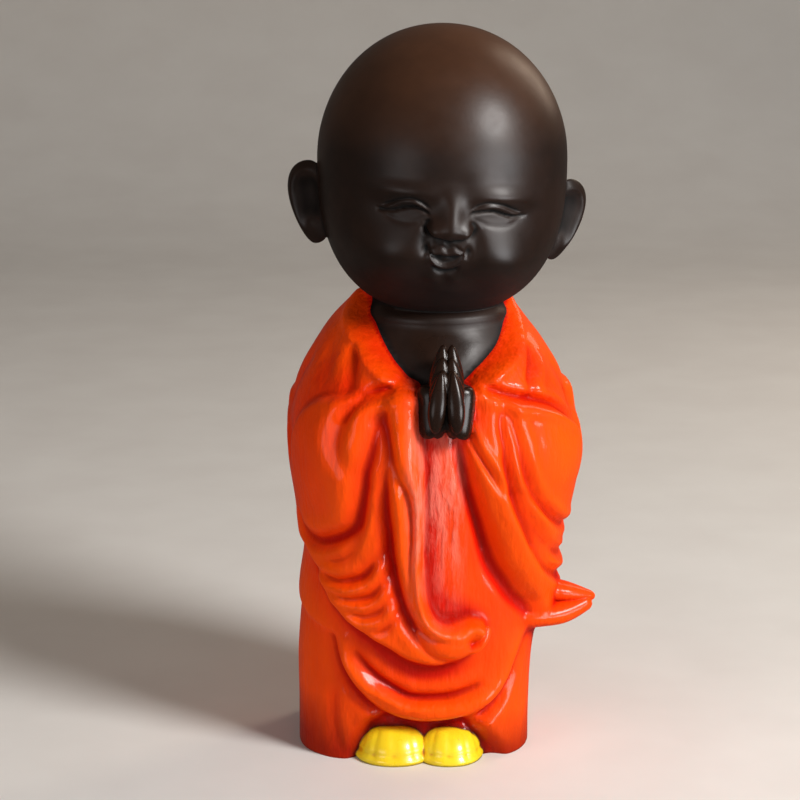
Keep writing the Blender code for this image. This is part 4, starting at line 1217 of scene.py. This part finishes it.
def shoe_paint():
    """Gloss yellow, warmer in the pleats as its own darker paint and painted shade, and lined dark where it
    meets the robe.
    """
    paint = Nodes("gloss yellow shoes")
    patches = paint.ramp(paint.noise(90.0), 0.3, 0.7)
    colour = paint.mix(patches, rgb(0.86, 0.58, 0.008), rgb(0.95, 0.74, 0.02))
    # Deeper orange in the pleats: the shoes' darker paint there, deepened as painted shade
    colour = paint.mix(paint.ramp(paint.attribute("crease"), 0.02, 0.5), colour, rgb(0.78, 0.34, 0.004))
    edge = paint.ramp(paint.attribute("border"), 0.5, 1.0)
    colour = paint.mix(edge, colour, rgb(0.09, 0.03, 0.004))
    paint.set(Base_Color=colour, Roughness=paint.ramp(paint.noise(260.0), 0.3, 0.7, 0.26, 0.36))
    paint.set(Coat_Weight=0.5, Coat_Roughness=0.15)
    paint.bump(paint.noise(700.0, 3.0), 0.00006, 0.25)
    return paint.material


def floor_paint():
    """Pale, and darker and warmer up the wall."""
    paint = Nodes("pale floor")
    patches = paint.ramp(paint.noise(30.0, 6.0), 0.3, 0.7)
    colour = paint.mix(patches, rgb(0.74, 0.72, 0.69), rgb(0.78, 0.765, 0.735))
    colour = paint.mix(paint.ramp(paint.height(), 0.0, 0.45), colour, rgb(0.56, 0.49, 0.41))
    paint.set(Base_Color=colour, Roughness=0.6)
    return paint.material


# The studio

def lay_floor():
    """A pale floor that sweeps up behind the figure."""
    bpy.ops.mesh.primitive_plane_add(size=FLOOR_SIZE, location=(0, 0, 0))
    floor = bpy.context.object
    floor.name = "studio_floor"
    set_mode("EDIT")
    bpy.ops.mesh.select_all(action="DESELECT")
    set_mode("OBJECT")
    for edge in floor.data.edges:
        ends = [floor.data.vertices[k].co.y for k in edge.vertices]
        edge.select = min(ends) > 1.0
    set_mode("EDIT")
    bpy.ops.mesh.select_mode(type="EDGE")
    bpy.ops.mesh.extrude_region_move(TRANSFORM_OT_translate={"value": (0, 0, WALL_HEIGHT)})
    set_mode("OBJECT")
    curve = floor.modifiers.new("sweep", "BEVEL")
    curve.width = WALL_SWEEP
    curve.segments = 12
    curve.limit_method = "ANGLE"
    bpy.ops.object.modifier_apply(modifier=curve.name)
    bpy.ops.object.shade_smooth()
    floor.data.materials.append(floor_paint())
    floor.visible_glossy = False


def soft_light(name, place, size, watts, colour):
    """A soft box aimed at the middle of the figure."""
    facing = (Vector(place) - LIGHT_AIM).to_track_quat("Z", "Y").to_euler()
    bpy.ops.object.light_add(type="AREA", location=place, rotation=facing)
    light = bpy.context.object
    light.name = name
    light.data.shape = "ELLIPSE"
    light.data.size, light.data.size_y = size
    light.data.energy = watts
    light.data.color = colour
    return light


def light_studio():
    """Soft boxes, two of which only show as reflections, and a dim warm room."""
    for *light, unseen in LIGHTS:
        box = soft_light(*light)
        box.visible_glossy = unseen != "glossy"
        box.visible_diffuse = unseen != "diffuse"
    world = bpy.data.worlds.new("studio air")
    world.use_nodes = True
    world.node_tree.nodes["Background"].inputs["Color"].default_value = rgb(0.50, 0.45, 0.40)
    world.node_tree.nodes["Background"].inputs["Strength"].default_value = 0.20
    bpy.context.scene.world = world
    bpy.context.scene.view_settings.view_transform = "Standard"


place_camera()
statue = model_statue((skin_paint(), robe_paint(), shoe_paint()))
mark_creases(statue.data)
mark_borders(statue.data)
pick_only(statue)
bpy.ops.object.shade_smooth()
lay_floor()
light_studio()

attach(statue, "root")
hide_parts(STATUE)
